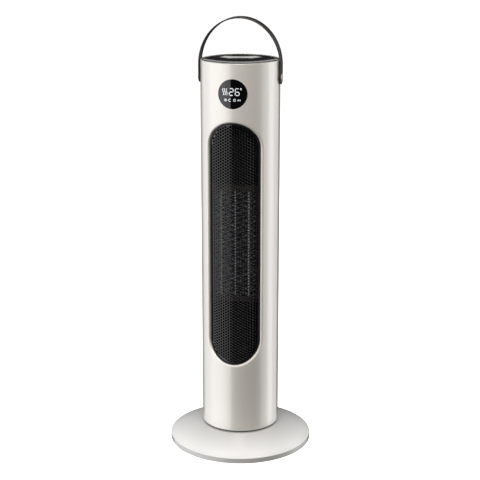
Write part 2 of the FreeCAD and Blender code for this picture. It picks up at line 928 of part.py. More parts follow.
def make_front_casing():
    """Front shell: outlet with a rolled lip, display hole, handle bush holes and screw bosses."""
    whole = tube("front_tube", s.column_radius, COLUMN_INSIDE, s.column_bottom, s.column_top)
    front = box("front_half", (-FAR, -FAR, 0), (FAR, s.seam_depth, s.column_top + 1))
    shell = common("front_shell", whole, front)
    collar_ring = tube(
        "collar_ring",
        s.column_radius - 1,
        s.column_radius - s.lip_depth,
        s.outlet_low - s.lip_width - 1,
        s.outlet_high + s.lip_width + 1,
    )
    collar = common("outlet_collar", outlet_prism("collar_prism", s.lip_width, -FAR, 0), collar_ring)
    bosses, pilots = floor_bosses("front", FRONT_FLOOR_SCREW_ANGLES)
    for side in (-1, 1):
        for height in SEAM_SCREW_HEIGHTS:
            at = (side * SEAM_SCREW_X, -s.boss_radius, height)
            bosses.append(cylinder("seam_boss", s.boss_radius, s.seam_depth + s.boss_radius, at, "Y"))
            at = (side * SEAM_SCREW_X, 0, height)
            pilots.append(cylinder("seam_pilot", s.screw_radius, s.seam_depth, at, "Y"))
    outside = disc("front_outside", s.column_radius, s.column_bottom, s.column_top)
    body = common("front_body", fuse("front_solid", shell, collar, *bosses), outside)
    opened = cut(
        "front_opened",
        body,
        outlet_prism("outlet_hole", 0, -FAR, 0),
        cylinder("display_hole", s.display_radius + s.display_gap, FAR, (0, -FAR, s.display_height), "Y"),
        cylinder("bush_holes", s.bush_radius, 2 * FAR, (-FAR, 0, s.pivot_height), "X"),
        *pilots,
    )

    def rounding(edge):
        if not lies_on_column(edge):
            return None
        limits = edge.BoundBox
        if limits.ZLength < TOLERANCE:
            return s.column_edge.number
        above = limits.ZMin > SIZES["outlet_low"] - TOLERANCE
        below = limits.ZMax < SIZES["outlet_high"] + TOLERANCE
        return s.lip_round.number if above and below and limits.YMax < 0 else None

    keep(round_edges("front_casing", opened, rounding), "front_casing")


def make_rear_casing():
    """Rear shell: three columns of intake slots, the cord's hole and the sunk seam screws."""
    whole = tube("rear_tube", s.column_radius, COLUMN_INSIDE, s.column_bottom, s.column_top)
    rear = box("rear_half", (-FAR, REAR_START, 0), (FAR, FAR, s.column_top + 1))
    bosses, cuts = floor_bosses("rear", REAR_FLOOR_SCREW_ANGLES)
    for side in (-1, 1):
        for height in SEAM_SCREW_HEIGHTS:
            at = (side * SEAM_SCREW_X, REAR_START, height)
            sunk = (side * SEAM_SCREW_X, REAR_START + s.sunk_head_depth, height)
            bosses.append(cylinder("sunk_boss", s.boss_radius, s.sunk_boss_length, at, "Y"))
            cuts.append(cylinder("sunk_hole", s.screw_radius, s.sunk_head_depth, at, "Y"))
            cuts.append(cylinder("sunk_head", s.sunk_head_radius, FAR, sunk, "Y"))
    for row in range(SIZES["intake_rows"]):
        low = s.intake_low + row * s.intake_pitch
        for middle in (-1, 0, 1):
            x = middle * (s.intake_length + s.intake_rib)
            start = (x - s.intake_length / 2, s.rear_depth, low)
            cuts.append(box("intake_slot", start, (x + s.intake_length / 2, FAR, low + s.intake_slot)))
    cuts.append(cylinder("gland_hole", s.gland_radius, FAR, (0, s.rear_depth, s.gland_height), "Y"))
    outside = disc("rear_outside", s.column_radius, s.column_bottom, s.column_top)
    shell = common("rear_shell", whole, rear)
    body = common("rear_body", fuse("rear_solid", shell, *bosses), outside)
    opened = cut("rear_opened", body, *cuts)

    def rounding(edge):
        limits = edge.BoundBox
        at_top = limits.ZMin > SIZES["column_top"] - TOLERANCE
        at_bottom = limits.ZMax < SIZES["column_bottom"] + TOLERANCE
        return s.column_edge.number if (at_top or at_bottom) and lies_on_column(edge) else None

    keep(round_edges("rear_casing", opened, rounding), "rear_casing")


def make_seam_screws():
    screws = []
    for side in (-1, 1):
        for height in SEAM_SCREW_HEIGHTS:
            at = (side * SEAM_SCREW_X, REAR_START + s.sunk_head_depth, height)
            screws.append(screw("seam_screw", at, 1, "Y"))
    keep(group("seam_screws", *screws), "seam_screws")


# ---------------------------------------------------------------- top


def make_top():
    """Dished black top with a glossy touch panel let into it, and the control board beneath."""
    rim = s.column_top - s.top_drop
    floor = rim - s.dish_depth
    bowl = (s.dish_rim * s.dish_rim + s.dish_depth * s.dish_depth) / (2 * s.dish_depth)
    blank = disc("top_blank", COLUMN_INSIDE, rim - s.top_skirt, rim)
    hollow = disc("top_hollow", COLUMN_INSIDE - s.column_wall, rim - s.top_skirt, floor - s.column_wall)
    shell = cut("top_shell", blank, sphere("top_dish", bowl, (0, 0, floor + bowl)), hollow)
    posts = []
    peg_low = floor - s.peg_length
    for angle in PEG_ANGLES:
        x, y = on_circle(SIZES["peg_circle"], angle)
        posts.append(disc("board_peg", s.peg_radius, peg_low, floor - s.column_wall, x, y))
    seat = disc("panel_seat", s.panel_radius + s.panel_gap, floor - s.panel_wall, rim + 1)
    keep(cut("top_cover", fuse("top_body", shell, *posts), seat), "top_cover")
    slab = disc("panel_slab", s.panel_radius, floor - s.panel_wall, rim)
    panel_bowl = sphere("panel_dish", bowl, (0, 0, floor + bowl))
    keep(cut("touch_panel", slab, panel_bowl), "touch_panel")
    board = disc("control_board", s.control_board_radius, peg_low - s.board_wall, peg_low)
    keep(board, "control_board")


# ---------------------------------------------------------------- display


def on_front(name, item, inside, outside):
    """The part of an item that lies in the column's wall between two radii, at the front."""
    ring = tube(name + "_ring", outside, inside, FRONT_LOW, FRONT_HIGH)
    return common(name, item, ring)


def make_display():
    """Dark window with a flange behind the shell, and the board and module it covers."""
    height = s.display_height
    middle = cylinder("window_middle", s.display_radius, FAR, (0, -FAR, height), "Y")
    edge = cylinder("window_edge", s.display_radius + s.display_flange, FAR, (0, -FAR, height), "Y")
    flange_inside = COLUMN_INSIDE - s.display_flange_wall
    window = fuse(
        "display_window",
        on_front("window_face", middle, flange_inside, s.column_radius - s.display_gap),
        on_front("window_flange", edge, flange_inside, COLUMN_INSIDE),
    )
    keep(window, "display_window")
    board_front = s.display_board_front
    holder_radius = s.display_radius + s.display_holder_wall
    holder_outside = cylinder("holder_outside", holder_radius, FAR, (0, -FAR, height), "Y")
    holder_inside = cylinder("holder_inside", s.display_radius, FAR, (0, -FAR, height), "Y")
    holder_ring = cut("holder_ring", holder_outside, holder_inside)
    limit = disc("holder_limit", flange_inside, FRONT_LOW, FRONT_HIGH)
    behind = common("holder_clipped", holder_ring, limit)
    front = box("holder_front", (-FAR, -FAR, 0), (FAR, board_front + s.board_wall, s.column_top))
    keep(common("display_holder", behind, front), "display_holder")
    board = cylinder("display_board", s.display_radius, s.board_wall, (0, board_front, height), "Y")
    keep(board, "display_board")
    low = (-s.module_width / 2, board_front - s.module_depth, height - s.module_height / 2)
    high = (s.module_width / 2, board_front, height + s.module_height / 2)
    keep(box("display_module", low, high), "display_module")


# ---------------------------------------------------------------- outlet frame, grille and baffle


def make_grille_frame():
    """Black frame: a wall inside the lip, and a flange behind the lip that holds it."""
    outer = -s.frame_gap
    inner = outer - s.frame_wall
    wall = cut(
        "frame_wall_ring",
        outlet_prism("frame_outer", outer, -FAR, -s.frame_back),
        outlet_prism("frame_inner", inner, -FAR - 1, 0),
    )
    limit = disc("frame_limit", s.column_radius - s.frame_step, FRONT_LOW, FRONT_HIGH)
    flange = cut(
        "frame_flange_ring",
        outlet_prism("flange_outer", s.frame_overlap, -FAR, 0),
        outlet_prism("flange_inner", inner, -FAR - 1, 1),
    )
    flange_outside = s.column_radius - s.lip_depth
    behind = on_front("frame_flange", flange, flange_outside - s.flange_wall, flange_outside)
    keep(fuse("grille_frame", common("frame_wall_cut", wall, limit), behind), "grille_frame")


def make_outlet_grille():
    """Curved sheet with staggered six-sided holes."""
    pitch = s.grille_pitch.number
    across = pitch - s.grille_web.number
    reach = s.outlet_radius.number - s.frame_gap.number - s.frame_wall.number
    low = s.outlet_low.number + s.outlet_radius.number
    high = s.outlet_high.number - s.outlet_radius.number
    depth = s.column_radius.number
    corner = across / math.sqrt(3)
    column_step = pitch * math.sqrt(3) / 2
    holes = []
    columns = int(reach / column_step)
    for column in range(-columns, columns + 1):
        x = column * column_step
        z = low - reach + (column % 2) * pitch / 2
        while z < high + reach:
            nearest = min(max(z, low), high)
            if math.hypot(x, z - nearest) + corner < reach - SIZES["grille_border"]:
                corners = []
                for turn in HEXAGON_TURNS:
                    side, rise = on_circle(corner, turn)
                    corners.append(Vector(x + side, -depth, z + rise))
                holes.append(Part.Face(Part.makePolygon(corners)))
            z += pitch
    punches = Part.Compound([hole.extrude(Vector(0, depth / 2, 0)) for hole in holes])
    outside = s.column_radius - s.grille_step
    blank = outlet_prism("grille_prism", -s.frame_gap - s.frame_wall, -FAR, 0)
    sheet_blank = on_front("grille_sheet", blank, outside - s.grille_wall, outside)
    keep(cut("outlet_grille", sheet_blank, custom("grille_holes", punches)), "outlet_grille")


def make_outlet_baffle():
    """Black plate behind the grille that leaves only the heating element open."""
    back = -s.frame_back
    plate = outlet_prism("baffle_plate", -s.frame_gap - s.frame_wall, back - s.baffle_wall, back)
    window = box(
        "baffle_window",
        (-s.heater_half_width, -FAR, s.heater_low),
        (s.heater_half_width, 0, s.heater_high),
    )
    keep(cut("outlet_baffle", plate, window), "outlet_baffle")


# ---------------------------------------------------------------- heating element


def ptc_middles():
    return [side * s.ptc_spacing for side in (-1, 0, 1)]


def make_heater():
    """PTC element: a frame, three flat aluminium tubes with ceramic stones, and fins between them."""
    low = s.heater_low + s.heater_end
    high = s.heater_high - s.heater_end
    inside = s.heater_half_width - s.heater_side
    block = box(
        "heater_block",
        (-s.heater_half_width, -s.heater_front, s.heater_low),
        (s.heater_half_width, -s.heater_back, s.heater_high),
    )
    opening = box("heater_opening", (-inside, -FAR, low), (inside, 0, high))
    cuts = [opening]
    blades = []
    for side in (-1, 1):
        left = side * s.blade_x - s.blade_width / 2
        blade_low = (left, -s.blade_depth, high)
        blade_high = (left + s.blade_width, -s.blade_depth + s.blade_wall, s.heater_high + s.blade_length)
        blades.append(box("terminal_blade", blade_low, blade_high))
        cuts.append(box("terminal_slot", blade_low, blade_high))
        for height in HEATER_SCREW_HEIGHTS:
            at = (side * s.heater_screw_x, -s.heater_front, height)
            cuts.append(cylinder("heater_hole", s.screw_radius, HEATER_SCREW_LENGTH, at, "Y"))
    keep(cut("heater_frame", block, *cuts), "heater_frame")
    keep(group("heater_terminals", *blades), "heater_terminals")

    front = -s.heater_front + s.ptc_recess
    back = -s.heater_back - s.ptc_recess
    half = s.ptc_width / 2
    bore = half - s.ptc_wall
    stone_front = front + s.stone_cover
    stone_back = back - s.stone_cover
    tubes = []
    stones = []
    room = (high - low) / s.ptc_count
    for middle in ptc_middles():
        outside = box("ptc_outside", (middle - half, front, low), (middle + half, back, high))
        hollow = box("ptc_hollow", (middle - bore, stone_front, low), (middle + bore, stone_back, high))
        tubes.append(cut("ptc_tube", outside, hollow))
        for index in range(SIZES["ptc_count"]):
            start = low + room * index + (room - s.stone_length) / 2
            corner = (middle - bore, stone_front, start)
            stones.append(box("ptc_stone", corner, (middle + bore, stone_back, start + s.stone_length)))
    keep(group("ptc_tubes", *tubes), "ptc_tubes")
    keep(group("ptc_stones", *stones), "ptc_stones")

    edges = [-inside] + [middle + side * half for middle in ptc_middles() for side in (-1, 1)] + [inside]
    packs = [fin_pack(edges[index], edges[index + 1], low, high) for index in range(0, len(edges), 2)]
    keep(group("heater_fins", *packs), "heater_fins")


def fin_pack(left, right, low, high):
    """One corrugated strip that runs up between two walls."""
    pitch = s.fin_pitch.number
    depth = s.heater_front.number - s.heater_back.number - 2 * s.ptc_recess.number
    front = -s.heater_front.number + s.ptc_recess.number
    width = right.number - left.number
    bend = s.fin_wall.number * width / pitch
    count = int((high.number - low.number) / pitch)
    heights = [low.number + index * pitch for index in range(count + 1)]
    sides = ((left.number, left.number + bend), (right.number - bend, right.number))
    near = [Vector(sides[index % 2][0], front, z) for index, z in enumerate(heights)]
    far = [Vector(sides[index % 2][1], front, z) for index, z in enumerate(heights)]
    strip = Part.Face(Part.makePolygon(near + far[::-1] + near[:1]))
    return custom("fin_pack", strip.extrude(Vector(0, depth, 0)))


def make_heater_guards():
    """Bimetal cut-out and one-shot fuse on top of the heater frame."""
    top = s.heater_high
    x = s.guard_x
    y = s.cutout_y
    reach = s.cutout_half_flange
    can_low = top + s.cutout_flange
    flange_low = (x - reach, y - s.cutout_radius, top)
    flange = box("cutout_flange", flange_low, (x + reach, -s.heater_back, can_low))
    can = disc("cutout_can", s.cutout_radius, can_low, can_low + s.cutout_height, x, y)
    keep(fuse("thermal_cutout", flange, can), "thermal_cutout")
    height = top + s.fuse_radius
    left = -x - s.fuse_length / 2
    barrel = cylinder("fuse_barrel", s.fuse_radius, s.fuse_length, (left, s.fuse_y, height), "X")
    lead_length = s.fuse_length + 2 * s.fuse_lead
    leads = cylinder("fuse_leads", FUSE_LEAD_RADIUS, lead_length, (left - s.fuse_lead, s.fuse_y, height), "X")
    keep(fuse("thermal_fuse", barrel, leads), "thermal_fuse")


# ---------------------------------------------------------------- air duct


def make_duct():
    """Scroll and tongue walls between a bottom and a top plate."""
    y = s.blower_y
    wall_low = s.duct_low + s.duct_wall
    wall_high = DUCT_TOP_LOW
    outside = s.scroll_radius + s.scroll_wall
    reach = box("plate_reach", (-FAR, -s.heater_back, 0), (FAR, s.duct_back, s.column_top))
    bottom = common("bottom_disc_cut", disc("bottom_disc", s.duct_radius, s.duct_low, wall_low), reach)
    pilots = [disc("bottom_pilot", s.screw_radius, s.duct_low, wall_low, *at) for at in damper_places()]
    shaft_hole = disc("bottom_shaft_hole", s.motor_bush_radius, s.duct_low, wall_low, 0, y)
    keep(cut("duct_bottom", bottom, shaft_hole, *pilots), "duct_bottom")
    top = common("top_disc_cut", disc("top_disc", s.duct_radius, wall_high, s.duct_high), reach)
    bearing_hole = disc("top_bearing_hole", s.holder_plug, wall_high, s.duct_high, 0, y)
    keep(cut("duct_top", top, bearing_hole), "duct_top")

    arc = common(
        "scroll_arc",
        tube("scroll_ring", outside, s.scroll_radius, wall_low, wall_high, 0, y),
        box("scroll_quarter", (0, y, 0), (FAR, FAR, s.column_top)),
    )
    straight = box("scroll_straight", (s.scroll_radius, -s.heater_back, wall_low), (outside, y, wall_high))
    keep(fuse("fan_scroll", arc, straight), "fan_scroll")
    tongue_low = (-outside, -s.heater_back, wall_low)
    tongue = box("tongue_wall", tongue_low, (-s.scroll_radius, s.tongue_end, wall_high))
    lip = disc("tongue_lip", s.scroll_wall, wall_low, wall_high, -s.scroll_radius - 1, s.tongue_end)
    keep(fuse("fan_tongue", tongue, lip), "fan_tongue")


# ---------------------------------------------------------------- blower


def layer(body, name, low, length, *radii):
    """A disc, or with two radii a ring, added to a body at a height."""
    sketch = new_sketch(body, name + "_outline", "XY_Plane", low)
    for radius in radii:
        circle(sketch, radius)
    pad(body, sketch, name, length)


def make_impeller():
    """Cross-flow wheel: end discs, rings and a ring of curved blades in one moulding."""
    body = doc.addObject("PartDesign::Body", "impeller_wheel")
    low = s.impeller_low
    high = s.impeller_high
    plate = s.impeller_disc
    layer(body, "bottom_disc", low, plate, s.impeller_radius)
    layer(body, "bottom_hub", low, s.impeller_low_hub, s.impeller_hub)
    sketch = new_sketch(body, "blade_outline", "XY_Plane", low + plate / 2)
    outer = s.impeller_radius - s.vane_inset
    inner = outer - s.vane_depth
    root_low = (inner, -VANE_RISE, VANE_CURVE)
    tip_high = (outer, VANE_RISE, -VANE_CURVE)
    outline(sketch, [root_low, (outer, VANE_HALF_WALL), tip_high, (inner, -VANE_HALF_WALL)])
    blade = pad(body, sketch, "blade", high - low - plate)
    ring = body.newObject("PartDesign::PolarPattern", "blade_ring")
    ring.Originals = [blade]
    ring.Axis = (sketch, ["N_Axis"])
    ring.Angle = 360
    ring.Occurrences = SIZES["blade_count"]
    body.Tip = ring
    for quarter in (1, 2, 3):
        middle = low + (high - low) * quarter / 4
        ring_inside = s.impeller_radius - s.impeller_hub
        layer(body, "middle_ring", middle, s.impeller_ring_wall, s.impeller_radius, ring_inside)
    high_hub = s.impeller_high_hub
    layer(body, "top_disc", high - plate, plate, s.impeller_radius)
    layer(body, "top_hub", high - high_hub, high_hub - plate / 2, s.impeller_hub)
    place(body, (0, s.blower_y, 0))
    y = s.blower_y
    motor_end = low + s.impeller_low_hub
    low_bore = disc("impeller_low_bore", s.shaft_radius, low, motor_end, 0, y)
    high_bore = disc("impeller_high_bore", s.shaft_radius, high - high_hub, high, 0, y)
    keep(cut("impeller", body, low_bore, high_bore), "impeller")
    motor_start = s.motor_low + 2 * s.motor_wall
    keep(disc("motor_shaft", s.shaft_radius, motor_start, motor_end, 0, y), "motor_shaft")
    stub_end = s.duct_high + 2 * s.holder_wall
    keep(disc("stub_shaft", s.shaft_radius, high - high_hub, stub_end, 0, y), "stub_shaft")


def make_top_bearing():
    """Rubber holder that seats the wheel's upper bush in the duct's top plate."""
    y = s.blower_y
    high = s.duct_high + s.holder_wall
    flange = disc("holder_flange", s.holder_radius, s.duct_high, high, 0, y)
    plug = disc("holder_plug", s.holder_plug, DUCT_TOP_LOW, s.duct_high, 0, y)
    bore = disc("holder_bore", s.bush_radius, DUCT_TOP_LOW, high, 0, y)
    keep(cut("bearing_holder", fuse("holder_body", flange, plug), bore), "bearing_holder")


def make_fan_motor():
    """Open can with its core and windings, the bracket that closes it and the dampers it hangs on."""
    y = s.blower_y
    inside = s.motor_radius - s.motor_wall
    core_low = s.motor_low + s.motor_core_inset
    core_high = s.motor_high - s.motor_core_inset
    can = disc("motor_can_outside", s.motor_radius, s.motor_low, s.motor_high, 0, y)
    hollow = disc("motor_can_inside", inside, s.motor_low + s.motor_wall, s.motor_high, 0, y)
    keep(cut("motor_can", can, hollow), "motor_can")
    keep(tube("motor_stator", inside, s.motor_core_inside, core_low, core_high, 0, y), "motor_stator")
    windings = []
    for low in (core_low - s.winding_height, core_high):
        high = low + s.winding_height
        windings.append(tube("winding", s.winding_outside, s.winding_inside, low, high, 0, y))
    keep(group("motor_windings", *windings), "motor_windings")
    keep(tube("motor_rotor", s.rotor_radius, s.shaft_radius, core_low, core_high, 0, y), "motor_rotor")

    low = s.motor_high
    high = BRACKET_TOP
    bush = s.motor_bush_radius
    plate = disc("bracket_disc", s.bracket_radius, low, high, 0, y)
    lugs = [disc("bracket_lug", s.bracket_lug, low, high, *at) for at in damper_places()]
    holes = [disc("bracket_hole", s.screw_radius, low, high, *at) for at in damper_places()]
    holes.append(disc("bracket_bearing_hole", bush, low, high, 0, y))
    keep(cut("motor_bracket", fuse("bracket_body", plate, *lugs), *holes), "motor_bracket")
    bore = s.shaft_radius + s.running_gap
    low_bush = tube("motor_low_bush", bush, bore, s.motor_low + s.motor_wall, s.motor_low + bush, 0, y)
    high_bush = tube("motor_high_bush", bush, bore, low, high + s.holder_wall, 0, y)
    top_bush = tube("top_bush", s.bush_radius, bore, DUCT_TOP_LOW, s.duct_high + s.bush_radius, 0, y)
    keep(group("shaft_bushes", low_bush, high_bush, top_bush), "shaft_bushes")
    dampers = []
    for at in damper_places():
        dampers.append(tube("motor_damper", s.damper_radius, s.screw_radius, high, s.duct_low, *at))
    keep(group("motor_dampers", *dampers), "motor_dampers")


def make_dust_filter():
    """Curved frame with a thin mesh, just inside the intake slots."""
    low = s.intake_low - s.filter_margin
    high = s.intake_low + s.intake_rows * s.intake_pitch - s.filter_bar / 2 + s.filter_margin
    half = s.filter_half_width
    bar = s.filter_bar
    back = s.rear_depth
    outside = COLUMN_INSIDE - s.filter_gap
    sector = box("filter_sector", (-half, back, 0), (half, FAR, s.column_top))
    ring = tube("filter_ring", outside, outside - s.filter_wall, low, high)
    width = half - 1.5 * bar
    step = (high - low - bar) / FILTER_ROWS
    windows = []
    for column in (0, 1):
        left = bar - half + column * (width + bar)
        for row in range(FILTER_ROWS):
            bottom = low + bar + row * step
            top = bottom + step - bar
            windows.append(box("filter_window", (left, back, bottom), (left + width, FAR, top)))
    frame = cut("filter_frame", common("filter_band", ring, sector), *windows)
    inset = s.filter_mesh_inset
    mesh_outside = outside - inset
    mesh_inside = mesh_outside - s.filter_mesh_wall
    mesh_ring = tube("filter_mesh_ring", mesh_outside, mesh_inside, low + inset, high - inset)
    mesh_sector = box("filter_mesh_sector", (inset - half, back, 0), (half - inset, FAR, s.column_top))
    keep(fuse("dust_filter", frame, common("filter_mesh", mesh_ring, mesh_sector)), "dust_filter")


# ---------------------------------------------------------------- electrics in the foot of the column


def make_power_board():
    """Board on its two posts, with the large components on its front and the terminals behind."""
    back = s.board_back
    front = back - s.board_wall
    low = (-s.board_half_width, front, s.board_low)
    board = box("power_board_slab", low, (s.board_half_width, back, s.board_high))
    holes = []
    for side in (-1, 1):
        for height in BOARD_SCREW_HEIGHTS:
            at = (side * s.board_screw_x, front, height)
            holes.append(cylinder("board_hole", s.screw_radius, s.board_wall, at, "Y"))
    keep(cut("power_board", board, *holes), "power_board")
    x, z = CAPACITOR_PLACE
    at = (x, front - CAPACITOR_LENGTH, z)
    components = [cylinder("capacitor", CAPACITOR_RADIUS, CAPACITOR_LENGTH, at, "Y")]
    for name, left, low, right, high, depth in FRONT_BLOCKS:
        components.append(box(name, (left, front - depth, low), (right, front, high)))
    keep(group("board_components", *components), "board_components")
    for name, left, low, right, high, depth in (TERMINAL_BLOCK, TILT_SWITCH):
        keep(box(name, (left, back, low), (right, back + depth, high)), name)


def make_swivel_motor():
    """Small gear motor that stands on the floor plate, its shaft off centre."""
    y = s.swivel_motor_y
    low = s.swivel_motor_low
    boss_low = low - s.swivel_boss_height
    ear_low = low - s.swivel_ear_wall
    half = s.swivel_ear_round
    ear_reach = s.swivel_motor_ear + half
    can = disc("swivel_motor_can", s.swivel_motor_radius, low, low + s.swivel_motor_height, 0, y)
    boss = disc("swivel_motor_boss", s.swivel_boss_radius, boss_low, low, 0, PINION_Y)
    ears = box("swivel_motor_ears", (-ear_reach, y - half, ear_low), (ear_reach, y + half, low))
    bore_radius = s.pinion_shaft_radius + s.running_gap
    bore = disc("swivel_motor_bore", bore_radius, boss_low, low + 6, 0, PINION_Y)
    holes = []
    for side in (-1, 1):
        x = side * s.swivel_motor_ear
        holes.append(disc("swivel_motor_hole", s.screw_radius, ear_low, low, x, y))
    keep(cut("swivel_motor", fuse("swivel_motor_body", can, boss, ears), bore, *holes), "swivel_motor")


def make_cord_gland():
    """Bush in the rear shell that a mains lead passes through."""
    height = s.gland_height
    face = s.column_radius
    inside = s.gland_inside
    barrel = cylinder("gland_barrel", s.gland_radius, face - inside, (0, inside, height), "Y")
    flange = cylinder("gland_flange", s.gland_flange, s.gland_flange_wall, (0, face, height), "Y")
    bore = cylinder("gland_bore_hole", s.gland_bore, FAR, (0, s.rear_depth, height), "Y")
    keep(cut("cord_gland", fuse("gland_body", barrel, flange), bore), "cord_gland")


def make_inner_screws():
    """The same tapping screw holds the floor, the board, both motors and the heater frame."""
    screws = []
    for x, y in floor_screw_places(FRONT_FLOOR_SCREW_ANGLES + REAR_FLOOR_SCREW_ANGLES):
        screws.append(screw("floor_screw", (x, y, s.floor_low), s.floor_boss_top - 2, head_up=False))
    front = s.board_back - s.board_wall
    for side in (-1, 1):
        for height in BOARD_SCREW_HEIGHTS:
            at = (side * s.board_screw_x, front, height)
            screws.append(screw("board_screw", at, s.board_back + BOARD_PILOT_DEPTH, "Y", head_up=False))
        x = side * s.swivel_motor_ear
        at = (x, s.swivel_motor_y, s.swivel_motor_low)
        tip = s.swivel_motor_low - s.swivel_ear_wall - s.swivel_post_grip
        screws.append(screw("gear_motor_screw", at, tip))
        for height in HEATER_SCREW_HEIGHTS:
            at = (side * s.heater_screw_x, -s.heater_front, height)
            tip = -s.heater_front + HEATER_SCREW_LENGTH
            screws.append(screw("heater_screw", at, tip, "Y", head_up=False))
    for x, y in damper_places():
        tip = s.duct_low + s.duct_wall
        screws.append(screw("fan_motor_screw", (x, y, s.motor_high), tip, head_up=False))
    keep(group("inner_screws", *screws), "inner_screws")


# ---------------------------------------------------------------- handle


def arch(name, half_width, rise, width):
    """Half an elliptic disc on straight sides, across the column."""
    start = s.handle_arch_start
    ellipse = doc.addObject("Part::Ellipse", name + "_ellipse")
    bind(ellipse, "MajorRadius", rise)
    bind(ellipse, "MinorRadius", half_width)
    upright = FreeCAD.Rotation(Vector(0, 0, 1), Vector(1, 0, 0), Vector(0, -1, 0), "ZXY")
    place(ellipse, (0, 0, start), upright)
    oval = doc.addObject("Part::Extrusion", name + "_oval")
    oval.Base = ellipse
    oval.DirMode = "Custom"
    oval.Dir = Vector(0, 1, 0)
    oval.Solid = True
    oval.Symmetric = True
    bind(oval, "LengthFwd", width)
    above = box(name + "_above", (-FAR, -FAR, start), (FAR, FAR, start + FAR))
    low = s.pivot_height - s.handle_width
    legs = box(name + "_legs", (-half_width, -width / 2, low), (half_width, width / 2, start))
    return fuse(name, common(name + "_crown", oval, above), legs)


def make_handle():
    """Bent strap with round ends, turning on two pins."""
    outside = s.handle_inside + s.handle_wall
    rise = s.handle_top - s.handle_arch_start
    outer = arch("handle_outer", outside, rise, s.handle_width)
    inner = arch("handle_inner", s.handle_inside, rise - s.handle_wall, s.handle_width + 2)
    strap = cut("handle_strap", outer, inner)
    above = box("handle_above", (-FAR, -FAR, s.pivot_height), (FAR, FAR, s.handle_top + 1))
    ends = cylinder("handle_ends", s.handle_width / 2, 2 * FAR, (-FAR, 0, s.pivot_height), "X")
    rounded = common("handle_rounded", strap, fuse("handle_limit", above, ends))
    holes = cylinder("handle_holes", s.pin_radius, 2 * FAR, (-FAR, 0, s.pivot_height), "X")
    drilled = cut("handle_drilled", rounded, holes)

    def rounding(edge):
        limits = edge.BoundBox
        sides = abs(abs(limits.Center.y) - SIZES["handle_width"] / 2) < TOLERANCE
        low = limits.ZMax < SIZES["pivot_height"] + TOLERANCE
        ends = low and limits.YLength > 3 * SIZES["pin_radius"]
        return s.handle_edge.number if sides or ends else None

    keep(round_edges("handle_band", drilled, rounding), "handle_band")

    pins = []
    clips = []
    bushes = []
    for side in (-1, 1):
        shank = along_x("pin_shank", side, s.pin_radius, s.pin_end, outside)
        head = along_x("pin_head", side, s.pin_head_radius, outside, outside + s.pin_head_height)
        pins.append(fuse("handle_pin", shank, head))
        clip_end = s.clip_place + s.clip_wall
        ring = along_x("clip_outside", side, s.clip_radius, s.clip_place, clip_end)
        clip_bore = along_x("clip_inside", side, s.pin_radius, s.clip_place, clip_end)
        clips.append(cut("pin_clip", ring, clip_bore))
        barrel = along_x("bush_barrel", side, s.bush_radius, s.bush_end, s.column_radius)
        flange_end = s.column_radius + s.bush_flange_wall
        flange = along_x("bush_flange", side, s.bush_flange_radius, s.column_radius, flange_end)
        bore = along_x("bush_bore", side, s.pin_radius + s.running_gap, s.pin_end, s.handle_inside)
        bushes.append(cut("handle_bush", fuse("bush_body", barrel, flange), bore))
    keep(group("handle_pins", *pins), "handle_pins")
    keep(group("handle_clips", *clips), "handle_clips")
    keep(group("handle_bushes", *bushes), "handle_bushes")


def along_x(name, side, radius, near, far):
    """A cylinder on the handle's axis between two distances from the column's axis."""
    near = as_size(near)
    start = near if side > 0 else -as_size(far)
    return cylinder(name, radius, far - near, (start, 0, s.pivot_height), "X")


# ---------------------------------------------------------------- build, check and write

make_base_cover()
make_base_plate()
make_base_weight()
make_base_feet()
make_base_screws()
make_swivel_post()
make_bearing()
make_swivel_gears()
make_column_floor()
make_front_casing()
make_rear_casing()
make_seam_screws()
make_top()
make_display()
make_grille_frame()
make_outlet_grille()
make_outlet_baffle()
make_heater()
make_heater_guards()
make_duct()
make_impeller()
make_top_bearing()
make_fan_motor()
make_dust_filter()
make_power_board()
make_swivel_motor()
make_cord_gland()
make_inner_screws()
make_handle()

doc.recompute()
for item in doc.Objects:
    if "Invalid" in item.State or "Error" in item.State:
        raise RuntimeError(f"{item.Name} failed: {item.getStatusString()}")
for item in pieces:
    if item.Shape.isNull() or not item.Shape.isValid():
        raise RuntimeError(f"{item.Label} has no valid shape")

os.makedirs("parts", exist_ok=True)
for item in pieces:
    item.Shape.exportStep(f"parts/{item.Label}.step")
    solids = len(item.Shape.Solids)
    print(f"{item.Label}: {solids} solid(s), {item.Shape.Volume / 1000:.2f} cm3")
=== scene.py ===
import json
import math

import bpy
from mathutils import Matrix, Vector
from mathutils.geometry import delaunay_2d_cdt


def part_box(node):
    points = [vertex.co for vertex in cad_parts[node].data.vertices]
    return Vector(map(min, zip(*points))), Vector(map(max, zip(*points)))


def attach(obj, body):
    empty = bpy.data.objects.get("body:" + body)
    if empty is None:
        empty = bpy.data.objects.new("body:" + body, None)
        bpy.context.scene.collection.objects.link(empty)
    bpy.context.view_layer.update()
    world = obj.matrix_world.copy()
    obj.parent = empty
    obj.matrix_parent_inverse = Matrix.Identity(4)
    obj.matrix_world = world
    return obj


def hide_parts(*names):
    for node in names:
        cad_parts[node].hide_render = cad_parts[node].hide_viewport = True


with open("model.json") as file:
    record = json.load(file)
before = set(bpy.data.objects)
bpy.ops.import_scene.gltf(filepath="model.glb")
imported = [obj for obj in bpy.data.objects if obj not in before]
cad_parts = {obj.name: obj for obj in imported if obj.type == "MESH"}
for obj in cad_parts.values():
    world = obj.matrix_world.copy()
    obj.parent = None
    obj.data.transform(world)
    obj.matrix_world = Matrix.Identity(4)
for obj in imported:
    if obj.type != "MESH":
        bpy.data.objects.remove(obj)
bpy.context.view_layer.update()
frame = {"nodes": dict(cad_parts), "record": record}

NODES = frame["nodes"]
MM = 0.001

